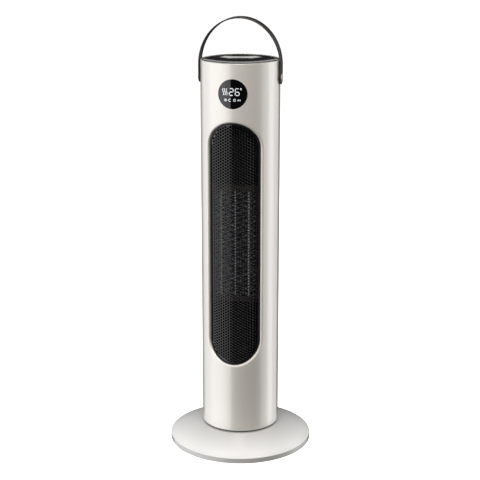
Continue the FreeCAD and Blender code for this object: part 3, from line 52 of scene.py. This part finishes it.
# Camera: height above the floor, distance from the column's axis, turn round it from the front towards +X,
# tilt down, small turn off the axis, and lens and sensor width in millimetres.
CAMERA_HEIGHT = 0.895
CAMERA_DISTANCE = 2.0004
CAMERA_TURN = math.radians(11.4)
CAMERA_TILT = math.radians(15.521)
CAMERA_PAN = math.radians(0.0174)
CAMERA_LENS = 96.4
CAMERA_SENSOR = 36

# The floor and the wall behind it reach this far, in metres.
ROOM_REACH = 30
ROOM_WALL_FACETS = 64

WORLD_TINT = (1.0, 0.975, 0.94, 1)
WORLD_STRENGTH = 0.03

# Studio cards: name, (azimuth, elevation, distance), (width, height), strength, colour.
CARD_AIM = 0.35  # height of the point that they face
WHITE = (1, 1, 1)
WARM = (1.10, 1.0, 0.86)
CARDS = (
    ("left_edge", (-37, 0, 2.4), (0.76, 4.4), 1.2, WHITE),
    ("left_softbox", (-73, 0, 2.4), (2.5, 4.4), 1.52, WHITE),
    ("left_wrap", (-120, 0, 2.4), (1.75, 4.4), 0.95, WHITE),
    ("left_back", (-158, 0, 2.4), (1.56, 4.4), 0.12, WHITE),
    ("right_near", (76, 0, 2.4), (1.02, 4.4), 0.85, WHITE),
    ("right_softbox", (100, 0, 2.4), (1.02, 4.4), 1.95, WHITE),
    ("right_wrap", (127, 0, 2.4), (1.29, 4.4), 1.0, WHITE),
    ("front_top", (-5, 62, 2.6), (1.6, 1.6), 2.5, WHITE),
    ("front_high", (0, 42, 3.0), (1.6, 1.6), 4.7, WARM),
    ("overhead", (180, 80, 2.4), (1.6, 1.6), 1.2, WHITE),
    ("dish_strip", (180, 25.5, 3.1), (0.105, 0.2), 1.3, WHITE),
    ("dish_haze", (180, 12.3, 3.0), (0.12, 0.26), 0.42, WHITE),
)

# Outlet mesh: six-sided holes in staggered columns, chamfered at the front.
MESH_PITCH = 4.62 * MM
MESH_WEB = 0.8 * MM
MESH_WALL = 0.7 * MM
MESH_CHAMFER = 0.3 * MM
MESH_BORDER = 0.8 * MM
MESH_LEAST_INSIDE = 0.25  # a hole's middle is inside the border by at least this share of its radius
OUTLINE_STEPS = 48
HEXAGON_CORNERS = 6
OUTLINE_WITHOUT_HOLES = 2  # the triangulation's output type that leaves inner rings open
SAME_POINT = 1e-7

# Painted shade and light on the base: its colour is scaled from the first of the two base shares below to
# the second between two radii, darker near the column and lighter towards the rim, and by the rim share on
# the rim's wall, below the first of RIM_HEIGHTS, as painted shade there.
BASE_RADII = (64 * MM, 107 * MM)
PAINTED_BASE_SHADE = (0.76, 1.12)
RIM_HEIGHTS = (8.5 * MM, 9.2 * MM)
PAINTED_RIM_SHADE = 0.62

# Lit marks on the display window. They are raised lines, drawn flat in millimetres from the window's middle.
MARK_LIFT = 0.06 * MM
MARK_STEP = 0.7 * MM
ARC_STEPS = 24
DIGIT_SIZE = (6.0, 10.4)
DIGIT_GAP = 0.75
DIGIT_STROKE = 1.25
TENS_LEFT = -4.6
UNITS_LEFT = 4.6
UPPER_ROW = -1.8
DEGREE = (13.2, 8.0, 1.15)
DEGREE_STROKE = 0.6
WAVES_LEFT = -14.6
WAVE_SPACING = 2.9
WAVE_SWAY = 0.75
WAVE_STEPS = 16
WAVE_STROKE = 1.0
LOWER_ROW = -9.2
SIGN_RADIUS = 1.9
SIGN_STROKE = 0.55
FAN_X = -10.6
BLADE_ANGLES = (90, 210, 330)
BLADE_LENGTH = 1.5
BLADE_STROKE = 0.7
MOON_X = -3.6
MOON_ARC = (2.0, 60, 300)
MOON_STROKE = 0.8
CLOCK_X = 3.4
CLOCK_HANDS = (1.2, 0.9)
CLOCK_STROKE = 0.5
SWING_ENDS = (8.6, 12.2)
SWING_STROKE = 0.6
ARROW_REACH = 0.4
ARROW_LENGTH = 1.2
ARROW_RISE = 1.1
ALMOST_ROUND = 345  # a closed ring's last point stops short of its first


# ---------------------------------------------------------------- camera, floor and light


def make_camera():
    data = bpy.data.cameras.new("camera")
    data.lens = CAMERA_LENS
    data.sensor_width = CAMERA_SENSOR
    camera = bpy.data.objects.new("camera", data)
    bpy.context.collection.objects.link(camera)
    camera.location = (
        CAMERA_DISTANCE * math.sin(CAMERA_TURN),
        -CAMERA_DISTANCE * math.cos(CAMERA_TURN),
        CAMERA_HEIGHT,
    )
    camera.rotation_euler = (math.pi / 2 - CAMERA_TILT, 0, CAMERA_TURN + CAMERA_PAN)
    bpy.context.scene.camera = camera


def make_floor():
    """A pale floor and a pale wall far behind it, which the object neither reflects nor is lit by."""
    material, _, shader = new_material("floor_white", (0.9, 0.9, 0.9), 0.9)
    shader.inputs["Specular IOR Level"].default_value = 0.1
    shader.inputs["Emission Color"].default_value = (1, 1, 1, 1)
    shader.inputs["Emission Strength"].default_value = 1.0
    bpy.ops.mesh.primitive_plane_add(size=2 * ROOM_REACH)
    floor = bpy.context.object
    floor.name = "floor"
    bpy.ops.mesh.primitive_cylinder_add(
        vertices=ROOM_WALL_FACETS,
        radius=ROOM_REACH,
        depth=ROOM_REACH,
        end_fill_type="NOTHING",
    )
    backdrop = bpy.context.object
    backdrop.name = "backdrop"
    backdrop.visible_shadow = False
    for piece in (floor, backdrop):
        piece.visible_glossy = False
        piece.visible_diffuse = False
        piece.data.materials.append(material)


def card(name, place, size, strength, colour):
    """A soft light that faces the column's middle. Azimuth 0 is the camera's side, positive to its right."""
    azimuth, elevation, distance = place
    data = bpy.data.lights.new(name, "AREA")
    data.shape = "RECTANGLE"
    data.size, data.size_y = size
    data.color = colour
    data.energy = strength * data.size * data.size_y * math.pi
    light = bpy.data.objects.new(name, data)
    bpy.context.collection.objects.link(light)
    light.visible_camera = False
    turn = CAMERA_TURN + math.radians(azimuth)
    rise = math.radians(elevation)
    offset = Vector((math.sin(turn) * math.cos(rise), -math.cos(turn) * math.cos(rise), math.sin(rise)))
    light.location = Vector((0, 0, CARD_AIM)) + offset * distance
    light.rotation_euler = (-offset).to_track_quat("-Z", "Y").to_euler()


def make_lights():
    world = bpy.data.worlds.new("studio")
    bpy.context.scene.world = world
    world.use_nodes = True
    background = world.node_tree.nodes["Background"]
    background.inputs["Color"].default_value = WORLD_TINT
    background.inputs["Strength"].default_value = WORLD_STRENGTH
    for name, place, size, strength, colour in CARDS:
        card(name, place, size, strength, colour)
    bpy.context.scene.view_settings.view_transform = "Standard"


# ---------------------------------------------------------------- material building blocks


def new_material(name, colour, roughness, metallic=0.0, coat=0.0, coat_roughness=0.03):
    material = bpy.data.materials.new(name)
    material.use_nodes = True
    tree = material.node_tree
    shader = tree.nodes["Principled BSDF"]
    shader.inputs["Base Color"].default_value = (*colour, 1)
    shader.inputs["Metallic"].default_value = metallic
    shader.inputs["Roughness"].default_value = roughness
    shader.inputs["Coat Weight"].default_value = coat
    shader.inputs["Coat Roughness"].default_value = coat_roughness
    return material, tree, shader


def coordinates(tree, stretch=(1, 1, 1)):
    """The object's own coordinates in metres, stretched along chosen axes."""
    source = tree.nodes.new("ShaderNodeTexCoord")
    mapping = tree.nodes.new("ShaderNodeMapping")
    mapping.inputs["Scale"].default_value = stretch
    tree.links.new(source.outputs["Object"], mapping.inputs["Vector"])
    return mapping.outputs["Vector"]


def noise(tree, size, detail=3.0, stretch=(1, 1, 1)):
    """Noise whose lumps are about size metres across."""
    texture = tree.nodes.new("ShaderNodeTexNoise")
    texture.inputs["Scale"].default_value = 1 / size
    texture.inputs["Detail"].default_value = detail
    tree.links.new(coordinates(tree, stretch), texture.inputs["Vector"])
    return texture.outputs["Fac"]


def cells(tree, size):
    """Distance from the middles of cells about size metres apart."""
    texture = tree.nodes.new("ShaderNodeTexVoronoi")
    texture.inputs["Scale"].default_value = 1 / size
    tree.links.new(coordinates(tree), texture.inputs["Vector"])
    return texture.outputs["Distance"]


WAVE_TURN = math.pi / 10  # the wave texture's scale that gives one band in each metre


def bands(tree, pitch, axis):
    """Even bands along an axis, one for each pitch in metres."""
    texture = tree.nodes.new("ShaderNodeTexWave")
    texture.bands_direction = axis
    texture.inputs["Scale"].default_value = WAVE_TURN / pitch
    tree.links.new(coordinates(tree), texture.inputs["Vector"])
    return texture.outputs["Fac"]


def calculate(tree, operation, first, second=0.0):
    """One step of arithmetic on number outputs and plain numbers."""
    node = tree.nodes.new("ShaderNodeMath")
    node.operation = operation
    for index, value in enumerate((first, second)):
        if isinstance(value, (int, float)):
            node.inputs[index].default_value = value
        else:
            tree.links.new(value, node.inputs[index])
    return node.outputs["Value"]


def spread(tree, value, low, high, start=0.35, end=0.65):
    """Map the middle of a texture's range onto low to high."""
    node = tree.nodes.new("ShaderNodeMapRange")
    node.inputs["From Min"].default_value = start
    node.inputs["From Max"].default_value = end
    node.inputs["To Min"].default_value = low
    node.inputs["To Max"].default_value = high
    tree.links.new(value, node.inputs["Value"])
    return node.outputs["Result"]


def mix(tree, factor, first, second):
    """Blend two colours, or a colour output and a colour, by a texture."""
    node = tree.nodes.new("ShaderNodeMix")
    node.data_type = "RGBA"
    tree.links.new(factor, node.inputs["Factor"])
    for name, value in (("A", first), ("B", second)):
        socket = [item for item in node.inputs if item.name == name and item.type == "RGBA"][0]
        if isinstance(value, tuple):
            socket.default_value = (*value, 1)
        else:
            tree.links.new(value, socket)
    return [item for item in node.outputs if item.type == "RGBA"][0]


def colour_from(tree, shader, value):
    tree.links.new(value, shader.inputs["Base Color"])


def roughness_from(tree, shader, value):
    tree.links.new(value, shader.inputs["Roughness"])


def bump_from(tree, shader, value, depth):
    """Bump whose full height is depth metres."""
    node = tree.nodes.new("ShaderNodeBump")
    node.inputs["Distance"].default_value = depth
    node.inputs["Strength"].default_value = 1.0
    tree.links.new(value, node.inputs["Height"])
    tree.links.new(node.outputs["Normal"], shader.inputs["Normal"])


def darker(colour, share):
    """A colour scaled by a share, which may also be above one."""
    return tuple(part * share for part in colour)


def scaled(tree, colour, factor):
    """A colour output multiplied by a number output."""
    node = tree.nodes.new("ShaderNodeVectorMath")
    node.operation = "SCALE"
    tree.links.new(colour, node.inputs["Vector"])
    tree.links.new(factor, node.inputs["Scale"])
    return node.outputs["Vector"]


def painted_base_shade(tree):
    """Painted shade and light: darker towards the column, lighter towards the rim, and painted shade again
    down the rim's wall.
    """
    parts = tree.nodes.new("ShaderNodeSeparateXYZ")
    tree.links.new(coordinates(tree), parts.inputs["Vector"])
    across = calculate(tree, "POWER", parts.outputs["X"], 2)
    along = calculate(tree, "POWER", parts.outputs["Y"], 2)
    radius = calculate(tree, "SQRT", calculate(tree, "ADD", across, along))
    # Painted shade near the column and painted light towards the rim, then painted shade down the rim's
    # wall.
    outward = spread(tree, radius, *PAINTED_BASE_SHADE, *BASE_RADII)
    wall = spread(tree, parts.outputs["Z"], PAINTED_RIM_SHADE, 1, *RIM_HEIGHTS)
    return calculate(tree, "MULTIPLY", outward, wall)


# ---------------------------------------------------------------- materials


def lacquer(name, colour, roughness, metallic, coat_roughness, painted_shade=None):
    """Pearl cream lacquer: fine flake under a clear coat with a faint orange peel.

    Painted shade, if given, makes a number output that scales the colour, painting shade and light into it.
    """
    material, tree, shader = new_material(name, colour, roughness, metallic, 1.0, coat_roughness)
    flake = noise(tree, 0.8 * MM, 2.0)
    cloud = noise(tree, 90 * MM, 2.0)
    pearl = mix(tree, spread(tree, flake, 0, 1), darker(colour, 0.975), darker(colour, 1.025))
    tone = mix(tree, spread(tree, cloud, 0, 0.12), pearl, darker(colour, 0.96))
    colour_from(tree, shader, scaled(tree, tone, painted_shade(tree)) if painted_shade else tone)
    handled = noise(tree, 60 * MM, 1.0)
    roughness_from(tree, shader, spread(tree, handled, roughness - 0.01, roughness + 0.01, 0.2, 0.8))
    bump_from(tree, shader, noise(tree, 6 * MM, 1.0), 0.008 * MM)
    return material


MOULDED_TONES = (0.8, 1.5)


def moulded(name, colour, roughness, grain, depth, sheen=0.5):
    """Moulded plastic with a spark-eroded grain and a little change in tone."""
    material, tree, shader = new_material(name, colour, roughness)
    shader.inputs["Specular IOR Level"].default_value = sheen
    grains = noise(tree, grain, 3.0)
    tone = noise(tree, 14 * MM, 4.0)
    dark, light = (darker(colour, share) for share in MOULDED_TONES)
    colour_from(tree, shader, mix(tree, spread(tree, tone, 0, 1), dark, light))
    roughness_from(tree, shader, spread(tree, grains, roughness - 0.07, roughness + 0.07))
    bump_from(tree, shader, grains, depth)
    return material


def black_gloss():
    """Polished black plastic: fine hairlines in the polish, and a trace of dust."""
    colour = (0.0015, 0.0015, 0.0018)
    material, tree, shader = new_material("black_gloss", colour, 0.05, 0, 0.6, 0.02)
    hairlines = noise(tree, 1.2 * MM, 5.0, (1, 12, 1))
    dust = cells(tree, 2.4 * MM)
    dusty = (0.006, 0.006, 0.0065)
    colour_from(tree, shader, mix(tree, spread(tree, dust, 1, 0, 0.02, 0.10), colour, dusty))
    roughness_from(tree, shader, spread(tree, hairlines, 0.03, 0.09))
    return material


COATED_TONES = (0.75, 1.3)


def mesh_black():
    """Powder-coated steel: a bluish black with a fine pebbled coat that catches the light."""
    colour = (0.004, 0.0045, 0.006)
    material, tree, shader = new_material("mesh_black", colour, 0.22, 0, 0.5, 0.12)
    pebbles = noise(tree, 0.5 * MM, 2.0)
    dark, light = (darker(colour, share) for share in COATED_TONES)
    colour_from(tree, shader, mix(tree, spread(tree, pebbles, 0, 1), dark, light))
    roughness_from(tree, shader, spread(tree, pebbles, 0.18, 0.26))
    bump_from(tree, shader, pebbles, 0.015 * MM)
    return material


def handle_plastic():
    """Charcoal satin strap with a faint flow pattern along it."""
    colour = (0.030, 0.027, 0.026)
    material, tree, shader = new_material("handle_plastic", colour, 0.34, 0, 0.25, 0.2)
    flow = noise(tree, 5 * MM, 4.0, (1, 5, 1))
    grain = noise(tree, 0.5 * MM, 2.0)
    dark, light = (darker(colour, share) for share in COATED_TONES)
    colour_from(tree, shader, mix(tree, spread(tree, flow, 0, 1), dark, light))
    roughness_from(tree, shader, spread(tree, grain, 0.28, 0.42))
    bump_from(tree, shader, grain, 0.02 * MM)
    return material


def metal(name, colour, roughness, line=0.25 * MM, stretch=(1, 1, 0.04), depth=0.006 * MM):
    """Drawn or brushed metal: long fine lines, and a slow change of tone from handling."""
    material, tree, shader = new_material(name, colour, roughness, 1.0)
    lines = noise(tree, line, 4.0, stretch)
    stain = noise(tree, 8 * MM, 5.0)
    colour_from(tree, shader, mix(tree, spread(tree, stain, 0, 1), darker(colour, 0.82), colour))
    roughness_from(tree, shader, spread(tree, lines, roughness - 0.08, roughness + 0.12))
    bump_from(tree, shader, lines, depth)
    return material


def ceramic():
    """Unglazed white ceramic with darker specks and a fine pitted surface."""
    colour = (0.62, 0.60, 0.55)
    material, tree, shader = new_material("ceramic", colour, 0.7)
    specks = cells(tree, 1.1 * MM)
    pits = noise(tree, 0.4 * MM, 4.0)
    colour_from(tree, shader, mix(tree, spread(tree, specks, 1, 0, 0.05, 0.2), colour, (0.25, 0.23, 0.2)))
    roughness_from(tree, shader, spread(tree, pits, 0.6, 0.85))
    bump_from(tree, shader, pits, 0.05 * MM)
    return material


def copper():
    """Enamelled wire, wound in rings about the upright axis and so in bands up it, with painted shade in the
    grooves between turns.
    """
    colour = (0.62, 0.25, 0.10)
    material, tree, shader = new_material("copper", colour, 0.28, 1.0, 0.5, 0.1)
    turns_and_groove_shade = bands(tree, 0.5 * MM, "Z")
    # Darker between turns: painted shade in the grooves between the wires.
    colour_from(tree, shader, mix(tree, turns_and_groove_shade, darker(colour, 0.35), colour))
    roughness_from(tree, shader, spread(tree, noise(tree, 2 * MM), 0.22, 0.4))
    bump_from(tree, shader, turns_and_groove_shade, 0.15 * MM)
    return material


def nylon():
    """Natural nylon: milky, slightly yellow, with faint flow marks."""
    colour = (0.74, 0.72, 0.65)
    material, tree, shader = new_material("nylon", colour, 0.42)
    shader.inputs["Subsurface Weight"].default_value = 0.15
    shader.inputs["Subsurface Scale"].default_value = 0.002
    flow = noise(tree, 7 * MM, 4.0, (1, 1, 3))
    colour_from(tree, shader, mix(tree, spread(tree, flow, 0, 1), darker(colour, 0.9), colour))
    roughness_from(tree, shader, spread(tree, flow, 0.36, 0.5))
    bump_from(tree, shader, noise(tree, 0.6 * MM), 0.02 * MM)
    return material


def circuit_board():
    """Green solder mask over copper tracks that run up and across the board."""
    mask = (0.012, 0.085, 0.035)
    material, tree, shader = new_material("circuit_board", mask, 0.35, 0, 0.4, 0.15)
    across = bands(tree, 2.2 * MM, "X")
    upward = bands(tree, 2.2 * MM, "Z")
    region = noise(tree, 16 * MM, 0.0)
    chosen = mix(tree, spread(tree, region, 0, 1, 0.48, 0.52), across, upward)
    tracks = spread(tree, chosen, 0, 1, 0.62, 0.7)
    colour_from(tree, shader, mix(tree, tracks, mask, (0.035, 0.2, 0.07)))
    roughness_from(tree, shader, spread(tree, noise(tree, 3 * MM), 0.28, 0.45))
    bump_from(tree, shader, tracks, 0.04 * MM)
    return material


def filter_mesh():
    """Woven nylon mesh: threads that cross, with painted shade in the gaps between them."""
    thread = (0.035, 0.035, 0.038)
    material, tree, shader = new_material("filter_mesh", thread, 0.6)
    weave = calculate(tree, "MAXIMUM", bands(tree, 0.9 * MM, "X"), bands(tree, 0.9 * MM, "Z"))
    threads_and_gap_shade = spread(tree, weave, 0, 1, 0.45, 0.75)
    # The gaps are near black: painted shade for the dark seen through them.
    colour_from(tree, shader, mix(tree, threads_and_gap_shade, (0.003, 0.003, 0.003), thread))
    roughness_from(tree, shader, spread(tree, weave, 0.75, 0.5))
    bump_from(tree, shader, weave, 0.25 * MM)
    return material


def display_light():
    """Pale lit marks seen through the dark window, a little brighter in random patches."""
    colour = (0.80, 0.86, 0.92)
    material, tree, shader = new_material("display_light", colour, 0.4)
    glow = noise(tree, 1.5 * MM, 2.0)
    lit = mix(tree, spread(tree, glow, 0, 1), darker(colour, 0.85), colour)
    colour_from(tree, shader, lit)
    tree.links.new(lit, shader.inputs["Emission Color"])
    shader.inputs["Emission Strength"].default_value = 0.42
    return material


def make_materials():
    return {
        "shell_gloss": lacquer("shell_gloss", (0.795, 0.778, 0.752), 0.34, 0.25, 0.05),
        # The base's lacquer carries painted shade near the column and down the rim's wall, and painted light
        # towards the rim.
        "base_gloss": lacquer("base_gloss", (0.80, 0.81, 0.82), 0.5, 0.0, 0.15, painted_base_shade),
        "black_plastic": moulded("black_plastic", (0.006, 0.006, 0.007), 0.5, 0.45 * MM, 0.03 * MM, 0.3),
        "inner_black": moulded("inner_black", (0.003, 0.003, 0.003), 0.9, 0.6 * MM, 0.04 * MM, 0.08),
        "mesh_black": mesh_black(),
        "black_gloss": black_gloss(),
        "handle_plastic": handle_plastic(),
        "rubber": moulded("rubber", (0.018, 0.018, 0.018), 0.82, 0.8 * MM, 0.06 * MM),
        "steel": metal("steel", (0.56, 0.56, 0.57), 0.3),
        "black_steel": metal("black_steel", (0.045, 0.045, 0.05), 0.38, 0.4 * MM, (1, 1, 1)),
        "aluminium": metal("aluminium", (0.56, 0.57, 0.58), 0.38, 0.3 * MM, (1, 0.05, 1)),
        "ceramic": ceramic(),
        "heater_brown": moulded("heater_brown", (0.018, 0.010, 0.008), 0.6, 0.7 * MM, 0.05 * MM),
        "brass": metal("brass", (0.72, 0.52, 0.24), 0.3),
        "copper": copper(),
        "nylon": nylon(),
        "circuit_board": circuit_board(),
        "component_plastic": moulded("component_plastic", (0.03, 0.03, 0.034), 0.5, 0.5 * MM, 0.03 * MM),
        "filter_mesh": filter_mesh(),
        "display_light": display_light(),
    }


def paint_frame(materials):
    for subpart in frame["record"]["subparts"]:
        for slot in NODES[subpart["node"]].material_slots:
            slot.material = materials[subpart["material_slot"]]


# ---------------------------------------------------------------- outlet mesh


def new_piece(name, points, faces, body, slot, materials):
    """A mesh object that rides on a body and takes its finish from a slot."""
    mesh = bpy.data.meshes.new(name)
    mesh.from_pydata(points, [], faces)
    mesh.validate()
    mesh.materials.append(materials[slot])
    piece = bpy.data.objects.new(name, mesh)
    bpy.context.collection.objects.link(piece)
    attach(piece, body)
    return piece


def make_outlet_mesh(materials):
    """Fine curved honeycomb that fills the outlet's frame, in place of the plain CAD sheet."""
    low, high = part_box("outlet_grille")
    reach = high.x
    bottom = low.z + reach
    top = high.z - reach
    outside = -low.y

    def pull_in(x, z, limit):
        """Bring a point that lies outside the outline back onto it."""
        nearest = min(max(z, bottom), top)
        distance = math.hypot(x, z - nearest)
        share = min(1, limit / distance) if distance else 1
        return Vector((x * share, nearest + (z - nearest) * share))

    outline = []
    for step in range(2 * OUTLINE_STEPS):
        angle = math.pi * (step + 0.5) / OUTLINE_STEPS
        end = top if angle < math.pi else bottom
        outline.append(Vector((reach * math.cos(angle), end + reach * math.sin(angle))))

    corner = (MESH_PITCH - MESH_WEB) / math.sqrt(3)
    column_step = MESH_PITCH * math.sqrt(3) / 2
    inner = reach - MESH_BORDER
    points = list(outline)
    centres = [None] * len(outline)
    rings = [list(range(len(outline)))]
    columns = int(reach / column_step)
    for column in range(-columns, columns + 1):
        x = column * column_step
        rows = int((high.z - low.z) / MESH_PITCH) + 1
        for row in range(rows):
            z = low.z + (row + column % 2 / 2) * MESH_PITCH
            nearest = min(max(z, bottom), top)
            if math.hypot(x, z - nearest) > inner - corner * MESH_LEAST_INSIDE:
                continue
            centre = Vector((x, z))
            start = len(points)
            for turn in range(HEXAGON_CORNERS):
                angle = math.tau * turn / HEXAGON_CORNERS
                points.append(pull_in(x + corner * math.cos(angle), z + corner * math.sin(angle), inner))
                centres.append(centre)
            rings.append(list(range(start, start + HEXAGON_CORNERS)))

    flat, _, triangles, origins, _, _ = delaunay_2d_cdt(points, [], rings, OUTLINE_WITHOUT_HOLES, SAME_POINT)
    shrink = 1 - MESH_CHAMFER / corner
    layers = ((0.0, 1.0), (MESH_CHAMFER, shrink), (MESH_WALL, shrink))
    solid = []
    for depth, scale in layers:
        for point, sources in zip(flat, origins):
            centre = centres[sources[0]]
            place = point if centre is None else centre + (point - centre) * scale
            radius = outside - depth
            solid.append((place.x, -math.sqrt(radius**2 - place.x**2), place.y))
    count = len(flat)
    faces = []
    used = {}
    for triangle in triangles:
        a, b, c = triangle
        if (flat[b] - flat[a]).cross(flat[c] - flat[a]) < 0:
            a, b, c = a, c, b
        faces.append((a, b, c))
        faces.append((c + 2 * count, b + 2 * count, a + 2 * count))
        for edge in ((a, b), (b, c), (c, a)):
            used[edge] = True
    for start, end in used:
        if (end, start) not in used:
            for layer in (0, count):
                faces.append((end + layer, start + layer, start + layer + count, end + layer + count))
    piece = new_piece("outlet_mesh", solid, faces, "column", "mesh_black", materials)
    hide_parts("outlet_grille")


# ---------------------------------------------------------------- lit marks


def resample(points, closed):
    """Points no further than MARK_STEP apart along a line."""
    result = []
    ends = points + points[:1] if closed else points
    for start, end in zip(ends, ends[1:]):
        steps = max(1, math.ceil((end - start).length / MARK_STEP))
        result += [start.lerp(end, step / steps) for step in range(steps)]
    return result if closed else result + [points[-1]]


def ribbon(points, width, closed, surface):
    """The corners and faces of one thin raised line; surface turns a flat place and a lift into a point."""
    points = resample(points, closed)
    count = len(points)
    corners = []
    for index, point in enumerate(points):
        before = points[index - 1] if closed or index > 0 else point
        after = points[(index + 1) % count] if closed or index < count - 1 else point
        along = (after - before).normalized()
        side = Vector((-along.y, along.x)) * width / 2
        for place, lift in ((point + side, 0), (point + side, 1), (point - side, 1), (point - side, 0)):
            corners.append(surface(place, lift * MARK_LIFT))
    faces = []
    for index in range(count if closed else count - 1):
        here = 4 * index
        there = 4 * ((index + 1) % count)
        for edge in range(4):
            after = (edge + 1) % 4
            faces.append((here + edge, here + after, there + after, there + edge))
    if not closed:
        faces.append((3, 2, 1, 0))
        faces.append(tuple(4 * (count - 1) + edge for edge in range(4)))
    return corners, faces


def arc(x, y, radius, start=0, end=ALMOST_ROUND):
    """Points round a circle between two angles in degrees."""
    angles = [math.radians(start + (end - start) * step / ARC_STEPS) for step in range(ARC_STEPS + 1)]
    return [Vector((x + radius * math.cos(angle), y + radius * math.sin(angle))) for angle in angles]


def line(*ends):
    """Points of a broken line through plain pairs."""
    return [Vector(end) for end in ends]


def digit(x, y, segments):
    """The strokes of a seven-segment digit whose lower left corner is at x, y."""
    width, height = DIGIT_SIZE
    gap = DIGIT_GAP
    right = x + width
    middle = y + height / 2
    top = y + height
    places = {
        "top": ((x + gap, top), (right - gap, top)),
        "high_right": ((right, top - gap), (right, middle + gap)),
        "low_right": ((right, middle - gap), (right, y + gap)),
        "bottom": ((right - gap, y), (x + gap, y)),
        "low_left": ((x, y + gap), (x, middle - gap)),
        "high_left": ((x, middle + gap), (x, top - gap)),
        "middle": ((x + gap, middle), (right - gap, middle)),
    }
    return [line(*places[name]) for name in segments]


# Segments of the digits shown.
TWO = ("top", "high_right", "middle", "low_left", "bottom")
SIX = ("top", "high_left", "middle", "low_left", "low_right", "bottom")


def marks(name, strokes, surface, body, slot, materials):
    """One piece from strokes of (points, width, closed), all in millimetres."""
    points = []
    faces = []
    for path, width, closed in strokes:
        flat = [point * MM for point in path]
        corners, sides = ribbon(flat, width * MM, closed, surface)
        offset = len(points)
        points += corners
        faces += [tuple(index + offset for index in face) for face in sides]
    return new_piece(name, points, faces, body, slot, materials)


def heat_waves(x, y, height):
    """Three wavy upright lines, the usual sign for heat."""
    waves = []
    for column in range(3):
        path = []
        for step in range(WAVE_STEPS + 1):
            share = step / WAVE_STEPS
            across = x + column * WAVE_SPACING + WAVE_SWAY * math.sin(2 * math.pi * share)
            path.append(Vector((across, y + height * share)))
        waves.append(path)
    return waves


def fan_sign(x, y):
    """Three short blades in a ring."""
    middle = Vector((x, y))
    strokes = [(arc(x, y, SIGN_RADIUS), SIGN_STROKE, True)]
    for turn in BLADE_ANGLES:
        outward = Vector((math.cos(math.radians(turn)), math.sin(math.radians(turn))))
        strokes.append(([middle, middle + outward * BLADE_LENGTH], BLADE_STROKE, False))
    return strokes


def clock_sign(x, y):
    """Two hands in a ring."""
    upward, across = CLOCK_HANDS
    hands = line((x, y + upward), (x, y), (x + across, y))
    return [(arc(x, y, SIGN_RADIUS), SIGN_STROKE, True), (hands, CLOCK_STROKE, False)]


def swing_sign(left, right, y):
    """A line with an arrowhead at each end."""
    strokes = [(line((left, y), (right, y)), SWING_STROKE, False)]
    for tip, inward in ((left - ARROW_REACH, ARROW_LENGTH), (right + ARROW_REACH, -ARROW_LENGTH)):
        head = line((tip + inward, y + ARROW_RISE), (tip, y), (tip + inward, y - ARROW_RISE))
        strokes.append((head, SWING_STROKE, False))
    return strokes


def make_display_marks(materials):
    """Temperature digits, a heat sign and four small signs under them."""
    low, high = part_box("display_window")
    centre = (low.z + high.z) / 2
    face = -low.y

    def on_window(place, lift):
        angle = place.x / face
        radius = face + lift
        return (radius * math.sin(angle), -radius * math.cos(angle), centre + place.y)

    strokes = []
    for path in digit(TENS_LEFT, UPPER_ROW, TWO) + digit(UNITS_LEFT, UPPER_ROW, SIX):
        strokes.append((path, DIGIT_STROKE, False))
    strokes.append((arc(*DEGREE), DEGREE_STROKE, True))
    for path in heat_waves(WAVES_LEFT, UPPER_ROW, DIGIT_SIZE[1]):
        strokes.append((path, WAVE_STROKE, False))
    strokes += fan_sign(FAN_X, LOWER_ROW)
    strokes.append((arc(MOON_X, LOWER_ROW, *MOON_ARC), MOON_STROKE, False))
    strokes += clock_sign(CLOCK_X, LOWER_ROW)
    strokes += swing_sign(*SWING_ENDS, LOWER_ROW)
    marks("display_marks", strokes, on_window, "column", "display_light", materials)


make_camera()
make_floor()
make_lights()
finishes = make_materials()
paint_frame(finishes)
make_outlet_mesh(finishes)
make_display_marks(finishes)
